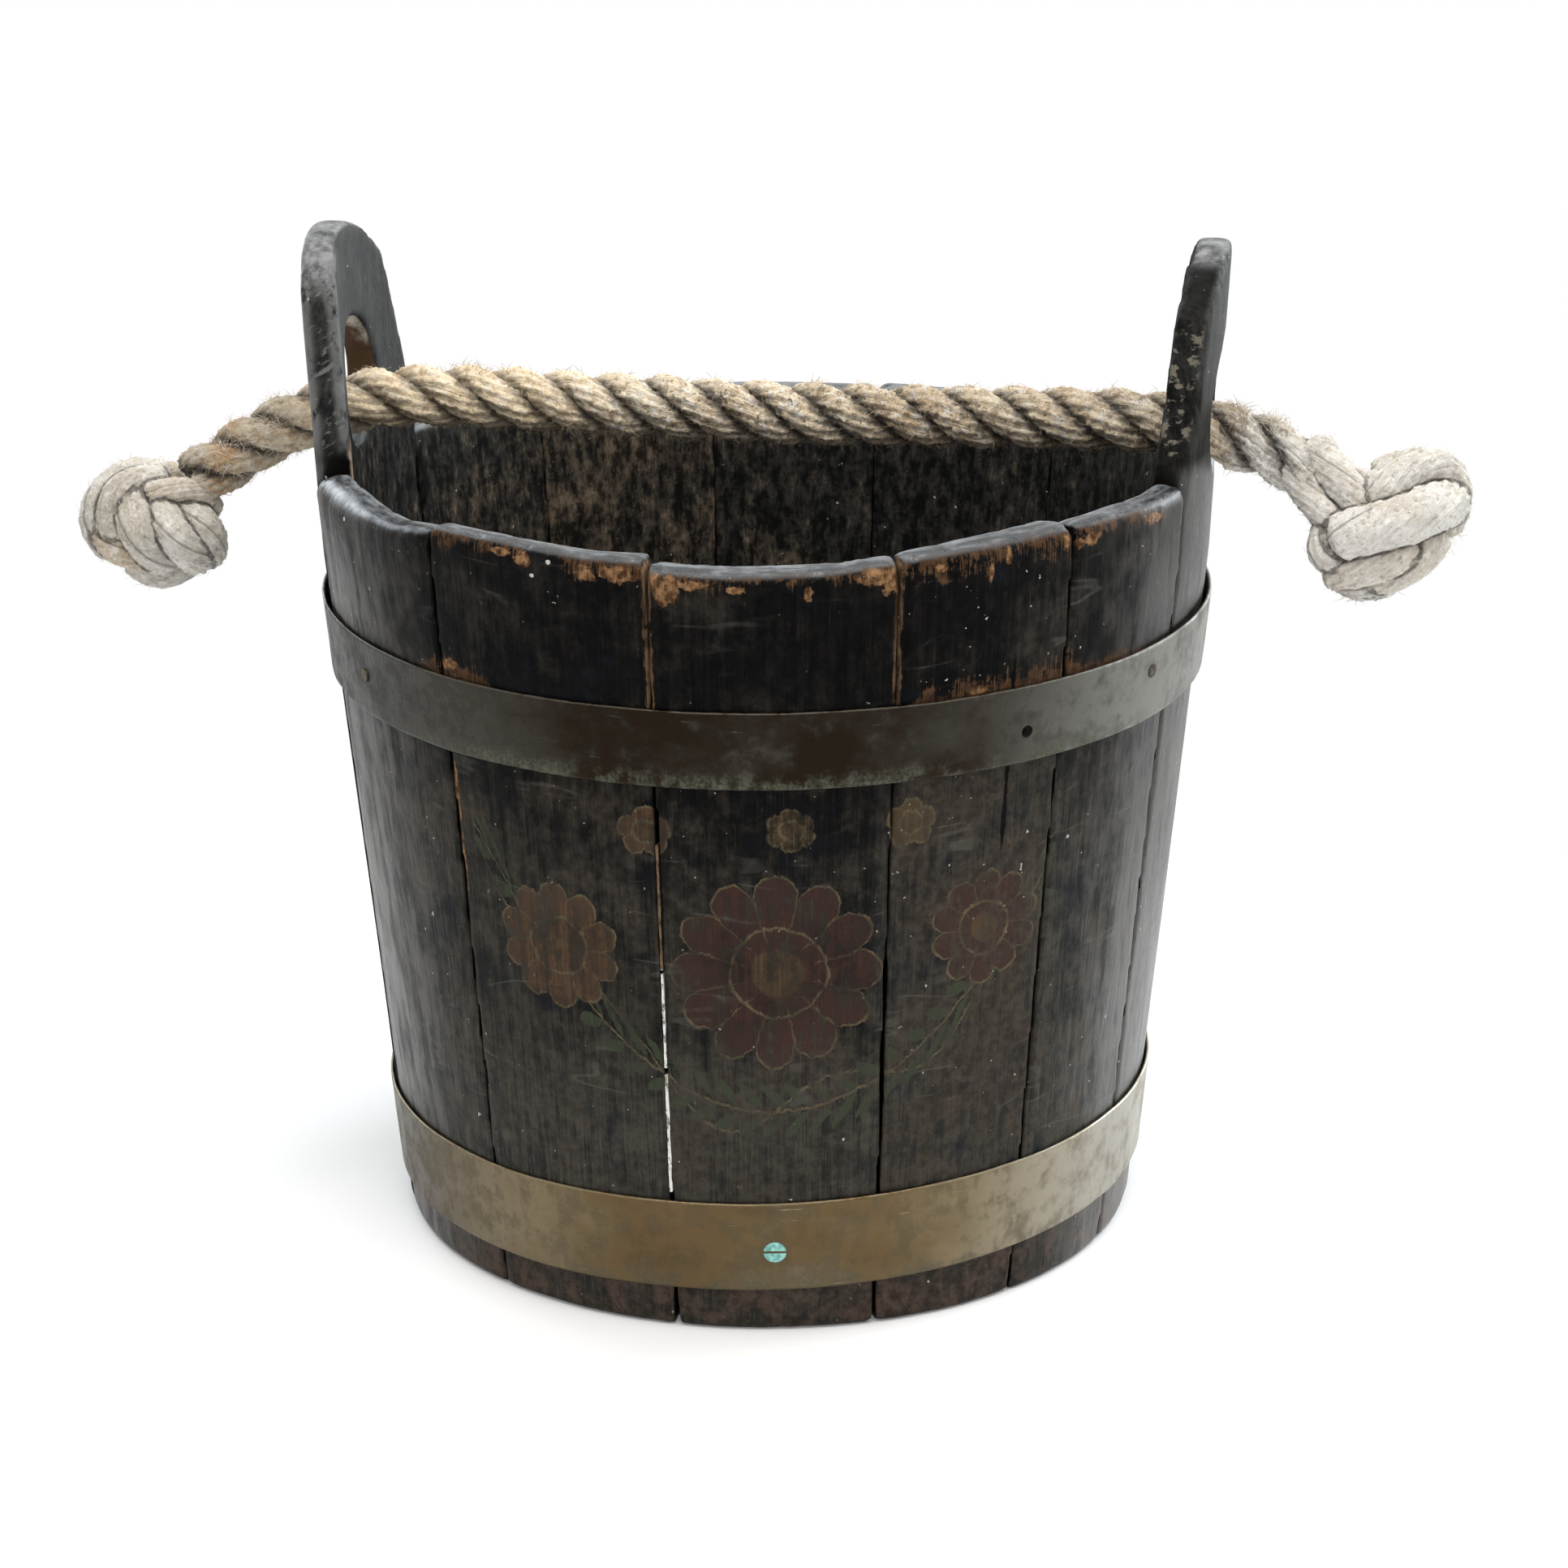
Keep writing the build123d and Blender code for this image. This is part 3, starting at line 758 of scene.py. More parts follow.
def side_sheen(wood, on_ear):
    """Long wavy glints where the wall turns away at the sides, and thin ones along the grain."""
    glints = (wood.ripple * 0.55 + wood.scuff * 0.3 + wood.patch * 0.15).rise(0.40, 0.58)
    sheen = wood.aside.rise(36, 76) * wood.aside.rise(140, 108) * (glints * 0.75 + 0.42)
    sheen = sheen + between(wood.angle, 66, 112, 6) * (wood.streak.rise(0.4, 0.6) * 0.4 + 0.2)
    sheen = sheen + wood.streak.rise(0.52, 0.68) * wood.z.rise(245, 190) * 0.20
    return sheen * wood.outside * (1 - on_ear)


def paint_recipe(start):
    wood = read_wood(start)
    outer = faded_paint(wood)
    art, art_shown = ornament(wood)
    outer = art_shown.blend(outer, art)
    rust, rubbed, tan, chipped = bare_wood(wood)
    outer = (rubbed * 0.88).blend(outer, rust)
    outer = (chipped * 0.92).blend(outer, tan)
    body = wood.outside.blend(joint_black, outer)
    body = wood.inside.blend(body, inner_wood(wood))
    joint = wood.streak.rise(0.35, 0.65).blend(*seam_tan)
    body = (tan_joints(wood) * 0.85).blend(body, joint)
    # worn grey and painted sheen: the rim's top is painted paler where it faces up, and palest towards
    # the inner edge as a painted highlight
    top = wood.upward.rise(0.4, 0.9) * wood.z.rise(255, 270) * (1 - wood.z.rise(299, 306))
    along_rim = start.vector(wood.along * 0.10, wood.depth * 0.45, wood.shift).noise(3.0, 0.6)
    rim_wear_and_sheen = along_rim * 0.5 + wood.scuff * 0.35 + wood.crumb * 0.15 + (wood.depth - 7) * 0.018
    body = top.blend(body, rim_wear_and_sheen.rise(0.40, 0.68).blend(*rim_grey_and_sheen))
    on_ear = wood.z.rise(297, 306)
    body = marked(wood, on_ear.blend(body, ear_paint(wood)))
    # painted shade: the left ear stave's outside is painted near black towards the front, where it
    # turns from the light
    in_shade = wood.angle.rise(-108, -80) * wood.angle.rise(-70.5, -71) * wood.z.rise(292, 286)
    body = (in_shade * wood.outside * 0.72).blend(body, crack_and_shade_black)

    sheen = side_sheen(wood, on_ear)
    on_left = on_ear * wood.x.rise(20, -20) * wood.facing * wood.facing
    rim_shine = top * (0.9 - between(wood.angle, -66, -37, 2) * 0.5)
    shine = sheen + rim_shine + on_ear * 0.03 + on_left * 0.5
    matt = wood.inside * 0.25 + (chipped + rubbed) * 0.25 + in_shade * 0.6
    rough = 0.36 + wood.scuff * 0.2 + (wood.crumb - 0.5) * 0.3
    fine_relief = wood.grain * 0.15 + wood.streak * 0.26 + wood.crumb * 0.2
    relief = fine_relief + wood.scuff * 0.35 + wood.ripple * 0.5
    return {
        "Base Color": body,
        "Roughness": rough + matt - top * 0.16 - sheen * 0.08,
        "Normal": start.bump(relief * (1 - top * 0.7), 0.0012, 0.8),
        "Polish": (shine * (1 - in_shade)).rise(0.0, 1.0),
    }


painted_oak = make_material("painted_oak", paint_recipe, polished=0.72, Specular_IOR_Level=0.04)

# %% [markdown]
# ## Bare oak, brass and verdigris
# The base boards are dark bare oak. Old brass is brown and olive, metal only in reflection,
# so it is a metal of a dark colour, which stays dark face on; towards each side it is painted
# paler, as painted reflection. The screw's head has gone turquoise with verdigris. The putty of
# an open seam is white low down and tan above.

# %% Base recipe
base_brown = ((0.016, 0.011, 0.008), (0.075, 0.047, 0.029))
base_scuff = (0.10, 0.082, 0.062)


def base_recipe(start):
    x, y, z = place = place_in_mm(start)
    grain = start.vector(x * 0.012, y * 0.35, z * 0.2).noise(5.0, 0.62)
    streak = start.vector(x * 0.03, y * 1.5, z * 0.5).noise(4.0, 0.65)
    scuff = even_noise(place, 0.09, 5.0, 0.65)
    wood = (grain * 0.6 + streak * 0.4).rise(0.36, 0.64).blend(*base_brown)
    wood = (scuff.rise(0.52, 0.72) * 0.6).blend(wood, base_scuff)
    return {
        "Base Color": wood,
        "Roughness": 0.62 + scuff * 0.25,
        "Normal": start.bump(grain * 0.6 + streak * 0.5 + scuff * 0.3, 0.0012, 0.8),
    }


# %% Brass recipe
# brown in front, grey beside it, left side, right side, bright scratches; the grey and the two
# side tints are paler as painted reflection, and the bright tint also paints the edge highlight
upper_tints = (
    (0.018, 0.0118, 0.0062), (0.060, 0.056, 0.045), (0.044, 0.045, 0.042), (0.270, 0.270, 0.245),
    (0.22, 0.20, 0.155),
)
lower_tints = (
    (0.118, 0.080, 0.037), (0.205, 0.165, 0.100), (0.066, 0.054, 0.036), (0.365, 0.345, 0.295),
    (0.46, 0.38, 0.24),
)
crust_green = ((0.046, 0.050, 0.033), (0.125, 0.126, 0.078))
pit_black = (0.006, 0.005, 0.004)


def brass_recipe(start, tints, verdigris):
    """Old brass from brown in front to paler at each side as painted reflection, stained, scratched,
    green below, with a painted highlight along its edges.
    """
    brown, grey, left, right, bright_wear_and_highlight = tints
    x, y, z = place = place_in_mm(start)
    angle = angle_round(x, y)
    across = start.attribute("across")
    cloud = start.vector(x * 0.020, y * 0.020, z * 0.04).noise(4.0, 0.6)
    mottle = even_noise(place, 0.10, 5.0, 0.68)
    fine = even_noise(place, 0.8, 3.0, 0.6)
    run = start.vector(angle * arc_per_degree * 0.30, z * 0.05, 6.0).noise(4.0, 0.65)
    scored = start.vector(angle * arc_per_degree * 0.05, z * 0.9, 2.0).noise(3.0, 0.6)
    aside = abs(angle - 4)
    front = aside.rise(150, 112)
    # painted reflection: grey beside the front and the side tints further round stand in for the bright
    # room mirrored at the sides
    greyed = (cloud - 0.5) * 2.2 + (mottle - 0.5) * 1.3 + aside.rise(12, 45) * front
    metal = greyed.rise(-0.2, 1.0).blend(brown, grey)
    metal = (aside.rise(28, 66) * front * 0.9).blend(metal, x.rise(-60, 60).blend(left, right))
    stain = (mottle * 0.8 + run * 0.15 + cloud * 0.4).rise(0.60, 0.86)
    dark_brown = tuple(part * 0.45 for part in brown)
    metal = (stain * (0.75 - aside.rise(28, 66) * 0.3)).blend(metal, dark_brown)
    worn = (mottle * 0.7 + cloud * 0.4 + run * 0.1).rise(0.62, 0.84)
    metal = (worn * 0.25).blend(metal, bright_wear_and_highlight)
    metal = (scored.rise(0.66, 0.74) * mottle.rise(0.42, 0.58) * 0.45).blend(metal, bright_wear_and_highlight)
    crust = across.rise(0.70, 0.985) * (mottle + cloud * 0.5 + run * 0.4).rise(0.86, 1.10)
    green = crust * verdigris * (1 - aside.rise(44, 60))
    metal = green.blend(metal, fine.rise(0.35, 0.65).blend(*crust_green))
    # painted highlight: a thin bright line along both edges of the strip
    top_edge_highlight = across.rise(0.030, 0.004) + across.rise(0.985, 0.999) * 0.5
    metal = (top_edge_highlight * mottle.rise(0.35, 0.5) * 0.25).blend(metal, bright_wear_and_highlight)
    pit = fine.rise(0.32, 0.25) * mottle.rise(0.46, 0.58)
    metal = (pit * 0.75).blend(metal, pit_black)
    return {
        "Base Color": metal,
        "Roughness": 0.42 + (mottle - 0.5) * 0.45 + stain * 0.15 + green * 0.25,
        "Metallic": 0.95 - green * 0.7 - pit * 0.4 - stain * 0.15,
        "Normal": start.bump(mottle * 0.6 + fine * 0.25 + cloud * 0.5 + run * 0.3, 0.0008, 0.6),
    }


# %% Fastener, verdigris and putty recipes
nail_brown = ((0.028, 0.022, 0.015), (0.13, 0.10, 0.062))
verdigris_green = ((0.12, 0.37, 0.35), (0.40, 0.74, 0.68))
putty_white = ((0.12, 0.10, 0.075), (0.84, 0.83, 0.80))
putty_tan = ((0.035, 0.022, 0.013), (0.19, 0.125, 0.072))


def fastener_recipe(start):
    mottle = even_noise(place_in_mm(start), 0.5, 4.0, 0.65)
    return {
        "Base Color": mottle.rise(0.35, 0.65).blend(*nail_brown),
        "Roughness": 0.35 + mottle * 0.3,
        "Metallic": 0.6 + mottle * 0.4,
        "Normal": start.bump(mottle, 0.0006, 0.6),
    }


def verdigris_recipe(start):
    mottle = even_noise(place_in_mm(start), 0.55, 4.0, 0.65)
    return {
        "Base Color": mottle.rise(0.34, 0.66).blend(*verdigris_green),
        "Roughness": 0.55 + mottle * 0.3,
        "Normal": start.bump(mottle, 0.0006, 0.8),
    }


def putty_recipe(start):
    x, y, z = place_in_mm(start)
    crumb = start.vector(x * 0.5, y * 0.5, z * 0.22).noise(4.0, 0.7)
    low = crumb.rise(0.36, 0.50).blend(*putty_white)
    high = crumb.rise(0.36, 0.60).blend(*putty_tan)
    return {
        "Base Color": z.rise(140, 144).blend(low, high),
        "Roughness": 0.7 + crumb * 0.2,
        "Normal": start.bump(crumb, 0.0006, 0.8),
    }


# %% Small finishes and the pieces kept as imported
base_oak = make_material("base_oak", base_recipe, Specular_IOR_Level=0.2)
upper_brass = make_material("upper_brass", lambda start: brass_recipe(start, upper_tints, 0.75))
lower_brass = make_material("lower_brass", lambda start: brass_recipe(start, lower_tints, 0.3))
fastener_brass = make_material("fastener_brass", fastener_recipe)
screw_verdigris = make_material("screw_verdigris", verdigris_recipe, Specular_IOR_Level=0.3)
seam_putty = make_material("seam_putty", putty_recipe, Specular_IOR_Level=0.2)

plain_nodes = [
    (base_oak, ["front_base_board", "middle_base_board", "back_base_board", "base_dowels"]),
    (fastener_brass, ["upper_hoop_rivets", "lower_hoop_rivets", "upper_hoop_nails"]),
    (screw_verdigris, ["hoop_screw"]),
]
for material, group in plain_nodes:
    for node in group:
        dress(nodes[node].data, material)
    print(material.name, "on", ", ".join(group))

# %% [markdown]
# ## The rope's route
# The rope lies through both ears and droops to a knot outside each. Its middle line is one
# smooth curve through the model's own points. Strands that are laid round it need points
# read off that curve, so the curve is turned into a mesh of points first.

# %% Route of the rope
rope_diameter = 24.0 * MM
rope_points = [  # mm to the right of the middle, mm up
    (-219.0, 274.8),
    (-197.0, 290.8),
    (-165.0, 305.7),
    (-132.0, 311.3),
    (-60.0, 309.0),
    (20.0, 306.6),
    (110.0, 308.0),
    (146.0, 308.0),
    (172.0, 303.3),
    (198.5, 293.3),
    (220.0, 278.5),
]


def smooth_line(name, points, resolution=24):
    """Points along a smooth curve that has these control points."""
    curve = bpy.data.curves.new(name, "CURVE")
    curve.dimensions = "3D"
    spline = curve.splines.new("NURBS")
    spline.points.add(len(points) - 1)
    for spot, point in zip(spline.points, points):
        spot.co = (*point, 1)
    spline.order_u = 3
    spline.use_endpoint_u = True
    spline.resolution_u = resolution
    holder = add_object(name, curve)
    mesh = evaluated_mesh(holder)
    line = points_of(mesh)
    bpy.data.objects.remove(holder)
    bpy.data.meshes.remove(mesh)
    return line


rope_line = smooth_line("rope_route", [(x * MM, 0, z * MM) for x, z in rope_points])

# %% [markdown]
# ## Rope fibre
# Old hemp is straw-coloured where it is handled, grey and bleached where it hangs free, and
# dark in the valleys between the strands, which is painted shade; left of the middle it is
# painted lighter, which is painted light. Each strand carries values from the sweep: how far
# along it a point is, how far round it, how deep it lies and how brown it is. Fine fibre
# lines follow those.

# %% Rope finish
straw_colours = ((0.74, 0.56, 0.35), (1.0, 0.87, 0.64))
bleached_colours = ((0.48, 0.44, 0.375), (0.82, 0.80, 0.76))
end_tan = (0.62, 0.45, 0.27)
golden_brown = (0.36, 0.20, 0.075)
fleck_white = (0.96, 0.93, 0.87)
fleck_brown = (0.15, 0.095, 0.050)
thread_white = (0.95, 0.91, 0.84)
thread_brown = (0.17, 0.115, 0.064)
crumb_brown = (0.105, 0.066, 0.033)
crumb_white = (0.93, 0.90, 0.83)
shag_browns = ((0.16, 0.105, 0.055), (0.36, 0.20, 0.08))
# lighter golden straw for the painted light left of the middle
left_lit_straw = (1.0, 0.76, 0.45)
dull_brown = (0.24, 0.18, 0.11)
stain_orange = (0.44, 0.22, 0.065)
# painted shade in the valleys and creases
valley_black = (0.020, 0.013, 0.008)


def fibre_recipe(start, bleach, stain, even):
    """Fibre from straw to bleached, with painted shade in the valleys, flecked, and lit along its
    threads.

    bleach is how bleached the left end, the middle and the right end are, stain is where an
    orange stain lies, and even says how unbroken the painted shade in the valleys is, and how
    much lighter the straw is painted left of the middle as painted light."""
    x, y, z = place = place_in_mm(start)
    along = start.attribute("along") * 1000
    around, valley, tint = (start.attribute(name) for name in ("around", "valley", "tint"))
    fibre = start.vector(around * 34, along * 0.25, 0).noise(5.0, 0.7)
    tuft = start.vector(around * 7, along * 0.12, 3.0).noise(3.0, 0.6)
    patch = even_noise(place, 0.03, 3.0, 0.55)
    fleck = even_noise(place, 0.26, 3.0, 0.65)
    crumb = even_noise(place, 0.50, 3.0, 0.7)
    shag = start.vector(x * 0.17, y * 0.17, z * 0.17 + 40).noise(4.0, 0.7)
    left, middle, right = bleach
    bleached = left + (middle - left) * x.rise(-195, -165) + (right - middle) * x.rise(158, 182)
    # painted light: towards the left the straw is painted lighter
    straw = (patch + x.rise(0, -150) * 0.4).rise(0.3, 0.8).blend(*straw_colours)
    pale = patch.rise(0.3, 0.7).blend(*bleached_colours)
    base = (bleached + (tuft - 0.5) * 0.8 + (fleck - 0.5) * 0.6).rise(0.0, 1.0).blend(straw, pale)
    golden = (fleck + tuft * 0.8 + patch * 0.3).rise(1.12, 1.34) * (1.1 - bleached)
    # painted light: fewer dark flecks and crumbs towards the left
    darker = 1 - x.rise(-30, -110) * 0.75 * even
    ragged = (shag * 0.7 + crumb * 0.3).rise(0.51, 0.59) * even
    # painted light: lighter, more golden straw left of the middle, with less painted shade in the
    # valleys there
    at_left = between(x, -160, -90, 50) * even
    dulled = x.rise(-164, -184) * 0.45 + x.rise(0, 60) * x.rise(174, 156) * 0.22
    near_stain = abs(x - stain).rise(10, 2) * (fleck + patch).rise(0.86, 1.1)
    # painted shade in the valleys between strands and in the knots' creases
    shade = valley.rise(0.16, 0.66) * (fleck.rise(0.30, 0.52) * (1 - even) + even)
    layers = [
        (tint * 0.75, end_tan),
        (golden * 0.6, golden_brown),
        (fleck.rise(0.54, 0.64) * (0.6 + 0.25 * even), fleck_white),
        (fleck.rise(0.43, 0.33) * (1 - bleached * 0.7) * darker * 0.55, fleck_brown),
        (fibre.rise(0.46, 0.75) * 0.6, thread_white),
        (fibre.rise(0.43, 0.25) * 0.6, thread_brown),
        (crumb.rise(0.45, 0.32) * (1.2 - bleached * 0.75) * darker * 0.8, crumb_brown),
        (crumb.rise(0.54, 0.66) * (0.7 - bleached * 0.35), crumb_white),
        (ragged * 0.62, x.rise(40, -100).blend(*shag_browns)),
        (at_left * 0.35, left_lit_straw),
        (dulled * even, dull_brown),
        (near_stain * 0.75, stain_orange),
        (shade * (0.72 + 0.14 * even - at_left * 0.2), valley_black),
    ]
    for amount, colour in layers:
        base = amount.blend(base, colour)
    return {
        "Base Color": base,
        "Roughness": 0.85 + fibre * 0.1,
        "Normal": start.bump(fibre * 0.8 + tuft * 0.4 + fleck * 0.4 + crumb * 0.5, 0.0018, 0.9),
    }


# %% Hair finish and the three materials
hair_straw = ((0.30, 0.19, 0.085), (0.66, 0.53, 0.36))
hair_pale = ((0.54, 0.42, 0.26), (0.80, 0.76, 0.68))


def hair_recipe(start):
    x, y, z = place_in_mm(start)
    shade = even_noise((x, y, z), 0.3, 2.0, 0.5)
    straw = shade.rise(0.35, 0.65).blend(*hair_straw)
    pale = shade.rise(0.35, 0.65).blend(*hair_pale)
    return {"Base Color": abs(x).rise(165, 195).blend(straw, pale), "Roughness": 0.7 + shade * 0.2}


rope_look = {"bleach": (0.35, 0.15, 0.80), "stain": -205.0, "even": 1.0}
knot_look = {"bleach": (0.85, 0.85, 0.85), "stain": -400.0, "even": 0.1}
fibre_gloss = {"Specular_IOR_Level": 0.2, "Sheen_Weight": 0.25, "Sheen_Roughness": 0.5}
rope_fibre = make_material("rope_fibre", lambda start: fibre_recipe(start, **rope_look), **fibre_gloss)
knot_fibre = make_material("knot_fibre", lambda start: fibre_recipe(start, **knot_look), **fibre_gloss)
hair_fibre = make_material("hair_fibre", hair_recipe, **fibre_gloss)

# %% [markdown]
# ## Laying the strands
# Three strands wind round the middle line to the right. The line is resampled, copied once
# per strand, pushed out on a turning arm, and swept with a section that has a ridge for each
# yarn. The yarns turn the other way, as in real rope, so the section is twisted as it goes.
# The same tree, with one strand and no arm, sweeps the lobes of the knots.

# %% Laid strands
tree, start, given = new_tree("laid_rope", {
    "Step": FLOAT, "Strands": INT, "Arm": FLOAT, "Strand Radius": FLOAT, "Lay": FLOAT,
    "Yarns": INT, "Yarn Depth": FLOAT, "Yarn Lay": FLOAT, "Looseness": FLOAT,
    "End Round": FLOAT, "Fray": FLOAT,
})
corners = 44
line = start.node("GeometryNodeMeshToCurve", None, {0: given["Geometry"]})
line = start.node("GeometryNodeResampleCurve", {"mode": "LENGTH"}, {0: line, "Length": given["Step"]})
line = start.node("GeometryNodeSetCurveNormal", {"mode": "MINIMUM_TWIST"}, {0: line})
copies = start.node("GeometryNodeDuplicateElements", {"domain": "SPLINE"},
                    {0: line, "Amount": given["Strands"]})
number = Wire(tree, copies.socket.node.outputs["Duplicate Index"])
length = start.node("GeometryNodeSplineParameter", out="Length")
share = number / given["Strands"]
turn = (length / given["Lay"] + share) * (2 * pi)
tangent = start.node("GeometryNodeInputTangent")
normal = start.node("GeometryNodeInputNormal")
across = start.node("ShaderNodeVectorMath", {"operation": "CROSS_PRODUCT"}, {0: tangent, 1: normal})
wander = start.vector(length * 45, share * 9, 0).noise(2.0, 0.5) - 0.5
arm = given["Arm"] * (1 + wander * given["Looseness"])
out_part = times(start, normal, arm * turn.math("COSINE", turn))
side_part = times(start, across, arm * turn.math("SINE", turn))
push = start.node("ShaderNodeVectorMath", {"operation": "ADD"}, {0: out_part, 1: side_part})
strand = store(start, copies, "along", length + share)
strand = moved(start, strand, push)
yarn_turn = length / given["Yarn Lay"] * (2 * pi)
strand = start.node("GeometryNodeSetCurveTilt", None, {0: strand, "Tilt": yarn_turn})
swell = start.vector(length * 70, share * 5, 4.0).noise(2.0, 0.5) - 0.5
factor = start.node("GeometryNodeSplineParameter", out="Factor")
closing = factor * (1 - factor) * 4 / given["End Round"]
closing = closing.math("MINIMUM", closing + 0.02, 1.0) ** 0.5
thickness = (1 + swell * given["Looseness"]) * closing * kept_value(start, "girth")
section = start.node("GeometryNodeCurvePrimitiveCircle", {"mode": "RADIUS"},
                     {"Resolution": corners, "Radius": given["Strand Radius"]})
corner = start.node("GeometryNodeInputIndex") / corners
ridge = corner * given["Yarns"] * (2 * pi)
ridge = ridge.math("SINE", ridge) * given["Yarn Depth"]
spread = times(start, start.node("GeometryNodeInputPosition"), ridge / given["Strand Radius"])
section = store(start, section, "around", corner)
section = moved(start, section, spread)
sweep = {"Curve": strand, "Profile Curve": section, "Scale": thickness, "Fill Caps": True}
swept = start.node("GeometryNodeCurveToMesh", None, sweep)
spot = start.node("GeometryNodeInputPosition")
rough = (spot.noise(3.0, 0.6, 240.0) - 0.5) * 0.7 + (spot.noise(2.0, 0.6, 760.0) - 0.5) * 0.8
frayed = times(start, start.node("GeometryNodeInputNormal"), rough * given["Fray"])
swept = moved(start, swept, frayed)
swept = start.node("GeometryNodeSetShadeSmooth", None, {0: swept})
end_tree(start, swept, rope_fibre)
laid_rope = tree


# %% Lines to sweep
def line_mesh(name, lines, girths, tints):
    """Mesh of bare lines, each with the thickness it is swept at and how brown it is."""
    mesh = bpy.data.meshes.new(name)
    links, first = [], 0
    for line in lines:
        links += [(first + i, first + i + 1) for i in range(len(line) - 1)]
        first += len(line)
    mesh.from_pydata(np.concatenate(lines).tolist(), links, [])
    sizes = [len(line) for line in lines]
    keep_values(mesh, "girth", np.repeat(girths, sizes))
    keep_values(mesh, "tint", np.repeat(tints, sizes))
    keep_values(mesh, "owner", np.repeat(np.arange(len(lines), dtype=float), sizes))
    return mesh


def keep_valley(thing, line, radius, deepest):
    """Keeps how deep each point lies below the rope's outside, for the shade between strands."""
    spots = points_of(thing.data)
    reach = np.full(len(spots), np.inf)
    for lump in np.array_split(np.arange(len(spots)), 40):
        gaps = spots[lump][:, None, :] - line[None, ::2, :]
        reach[lump] = np.sqrt((gaps**2).sum(axis=2).min(axis=1))
    keep_values(thing.data, "valley", np.clip((radius - reach) / deepest, 0, 1))


rope = run_tree("rope_strands", line_mesh("rope_line", [rope_line], [1.0], [0.0]), laid_rope, {
    "Step": 0.75 * MM, "Strands": 3, "Arm": 5.8 * MM, "Strand Radius": 5.5 * MM, "Lay": 56 * MM,
    "Yarns": 9, "Yarn Depth": 0.35 * MM, "Yarn Lay": -95 * MM, "Looseness": 0.28,
    "End Round": 0.0001, "Fray": 3.6 * MM,
})
valley_depth = 6.0 * MM
keep_valley(rope, rope_line, rope_diameter / 2, valley_depth)

# %% [markdown]
# ## Stopper knots
# Each end of the rope is worked back into itself as a stopper knot, a ball of fat strands
# that cross over and under. The strands that show are listed as lines over the ball, seen
# from the front: mm to the right, mm up and mm towards the viewer from the ball's middle.
# The far side repeats the larger ones, turned half round the rope's own direction, and a
# plain ball inside closes the gaps. The creases between the strands carry painted shade, and
# the ball inside is painted as full shade.

# %% Knot strands
knot_strand = 7.0 * MM
crease_width = 1.6 * MM
far_side = 0.86
knot_end_round = 0.3
left_knot_middle = Vector((-235.0, 0.0, 258.8)) * MM
right_knot_middle = Vector((230.3, 0.0, 270.9)) * MM
left_neck_way = Vector((0.70, 0.72, 0.0)).normalized()
right_neck_way = Vector((-0.74, 0.67, 0.0)).normalized()
left_ball = (23.0, 17.0, 20.0)
right_ball = (19.0, 17.0, 13.0)
# thickness, how brown, and the line of each strand
left_lobes = [
    (1.00, 0.0, [(6, 15, 6), (-6, 17, 9), (-16, 12, 12), (-22, 3, 9), (-21, -6, 6), (-14, -13, 2)]),
    (1.00, 0.0, [(6, 13, 13), (-5, 13, 17), (-12, 8, 18), (-15, 0, 15), (-14, -8, 9)]),
    (0.90, 0.8, [(-21, -2, 6), (-17, -9, 11), (-9, -13.5, 11), (0, -14.5, 5)]),
    (1.10, 0.0, [(-5, 10, 15), (-6, 2, 20), (-4, -6, 20), (0, -12, 14), (3, -15, 3)]),
    (1.05, 0.0, [(2, 7, 15), (5, -1, 19), (10, -8.5, 18), (15, -13, 11), (16, -15, 2)]),
    (1.00, 0.15, [(9, 7, 12), (15, 1, 14), (20, -5, 12), (21, -10, 6), (18, -14, -2)]),
    (0.68, 0.55, [(-3, 8.5, 20), (5, 10, 20.5), (13, 10, 18), (20, 8, 11), (22, 3, 3)]),
]
right_lobes = [
    (1.00, 0.05, [(-29, 31, 4), (-24, 22, 8), (-17, 12.5, 12), (-11, 5, 10), (-6, -2, 5)]),
    (0.90, 0.1, [(-38, 24, 3), (-31, 13, 6), (-25, 5, 9), (-20, -1, 8), (-15, -7, 4)]),
    (1.30, 0.0, [(-22, -6, 10), (-16, -4, 15), (-6, -2, 18), (4, 1, 18.5), (13, 5, 16), (20, 8, 9),
                 (22, 9, 2)]),
    (0.93, 0.0, [(-11, 5, 8), (-5, 11, 14), (3, 17, 14), (11, 21, 12), (19, 20.5, 9), (23.5, 13, 6),
                 (23, 4, 3), (19, -4, 0)]),
    (0.50, 0.1, [(-5, 17, 2), (2, 21.5, 3), (9, 25, 2), (14, 25.5, -4)]),
    (0.42, 0.0, [(-8, 18, 5), (-4, 15.5, 8), (0, 12, 8)]),
    (0.72, 0.1, [(-22, 2, 6), (-26, -5, 9), (-25.5, -12, 9), (-20, -15, 8), (-14, -14, 6)]),
    (0.95, 0.35, [(-24, -17, 3), (-16, -17.5, 8), (-6, -15, 12), (2, -12, 13), (8, -8, 10)]),
    (0.85, 0.3, [(17, -3, 10), (14, -9, 12), (8, -15, 10), (1, -19, 5), (-5, -20, -1)]),
]
front_view = Matrix((right, upward, -ahead)).transposed()


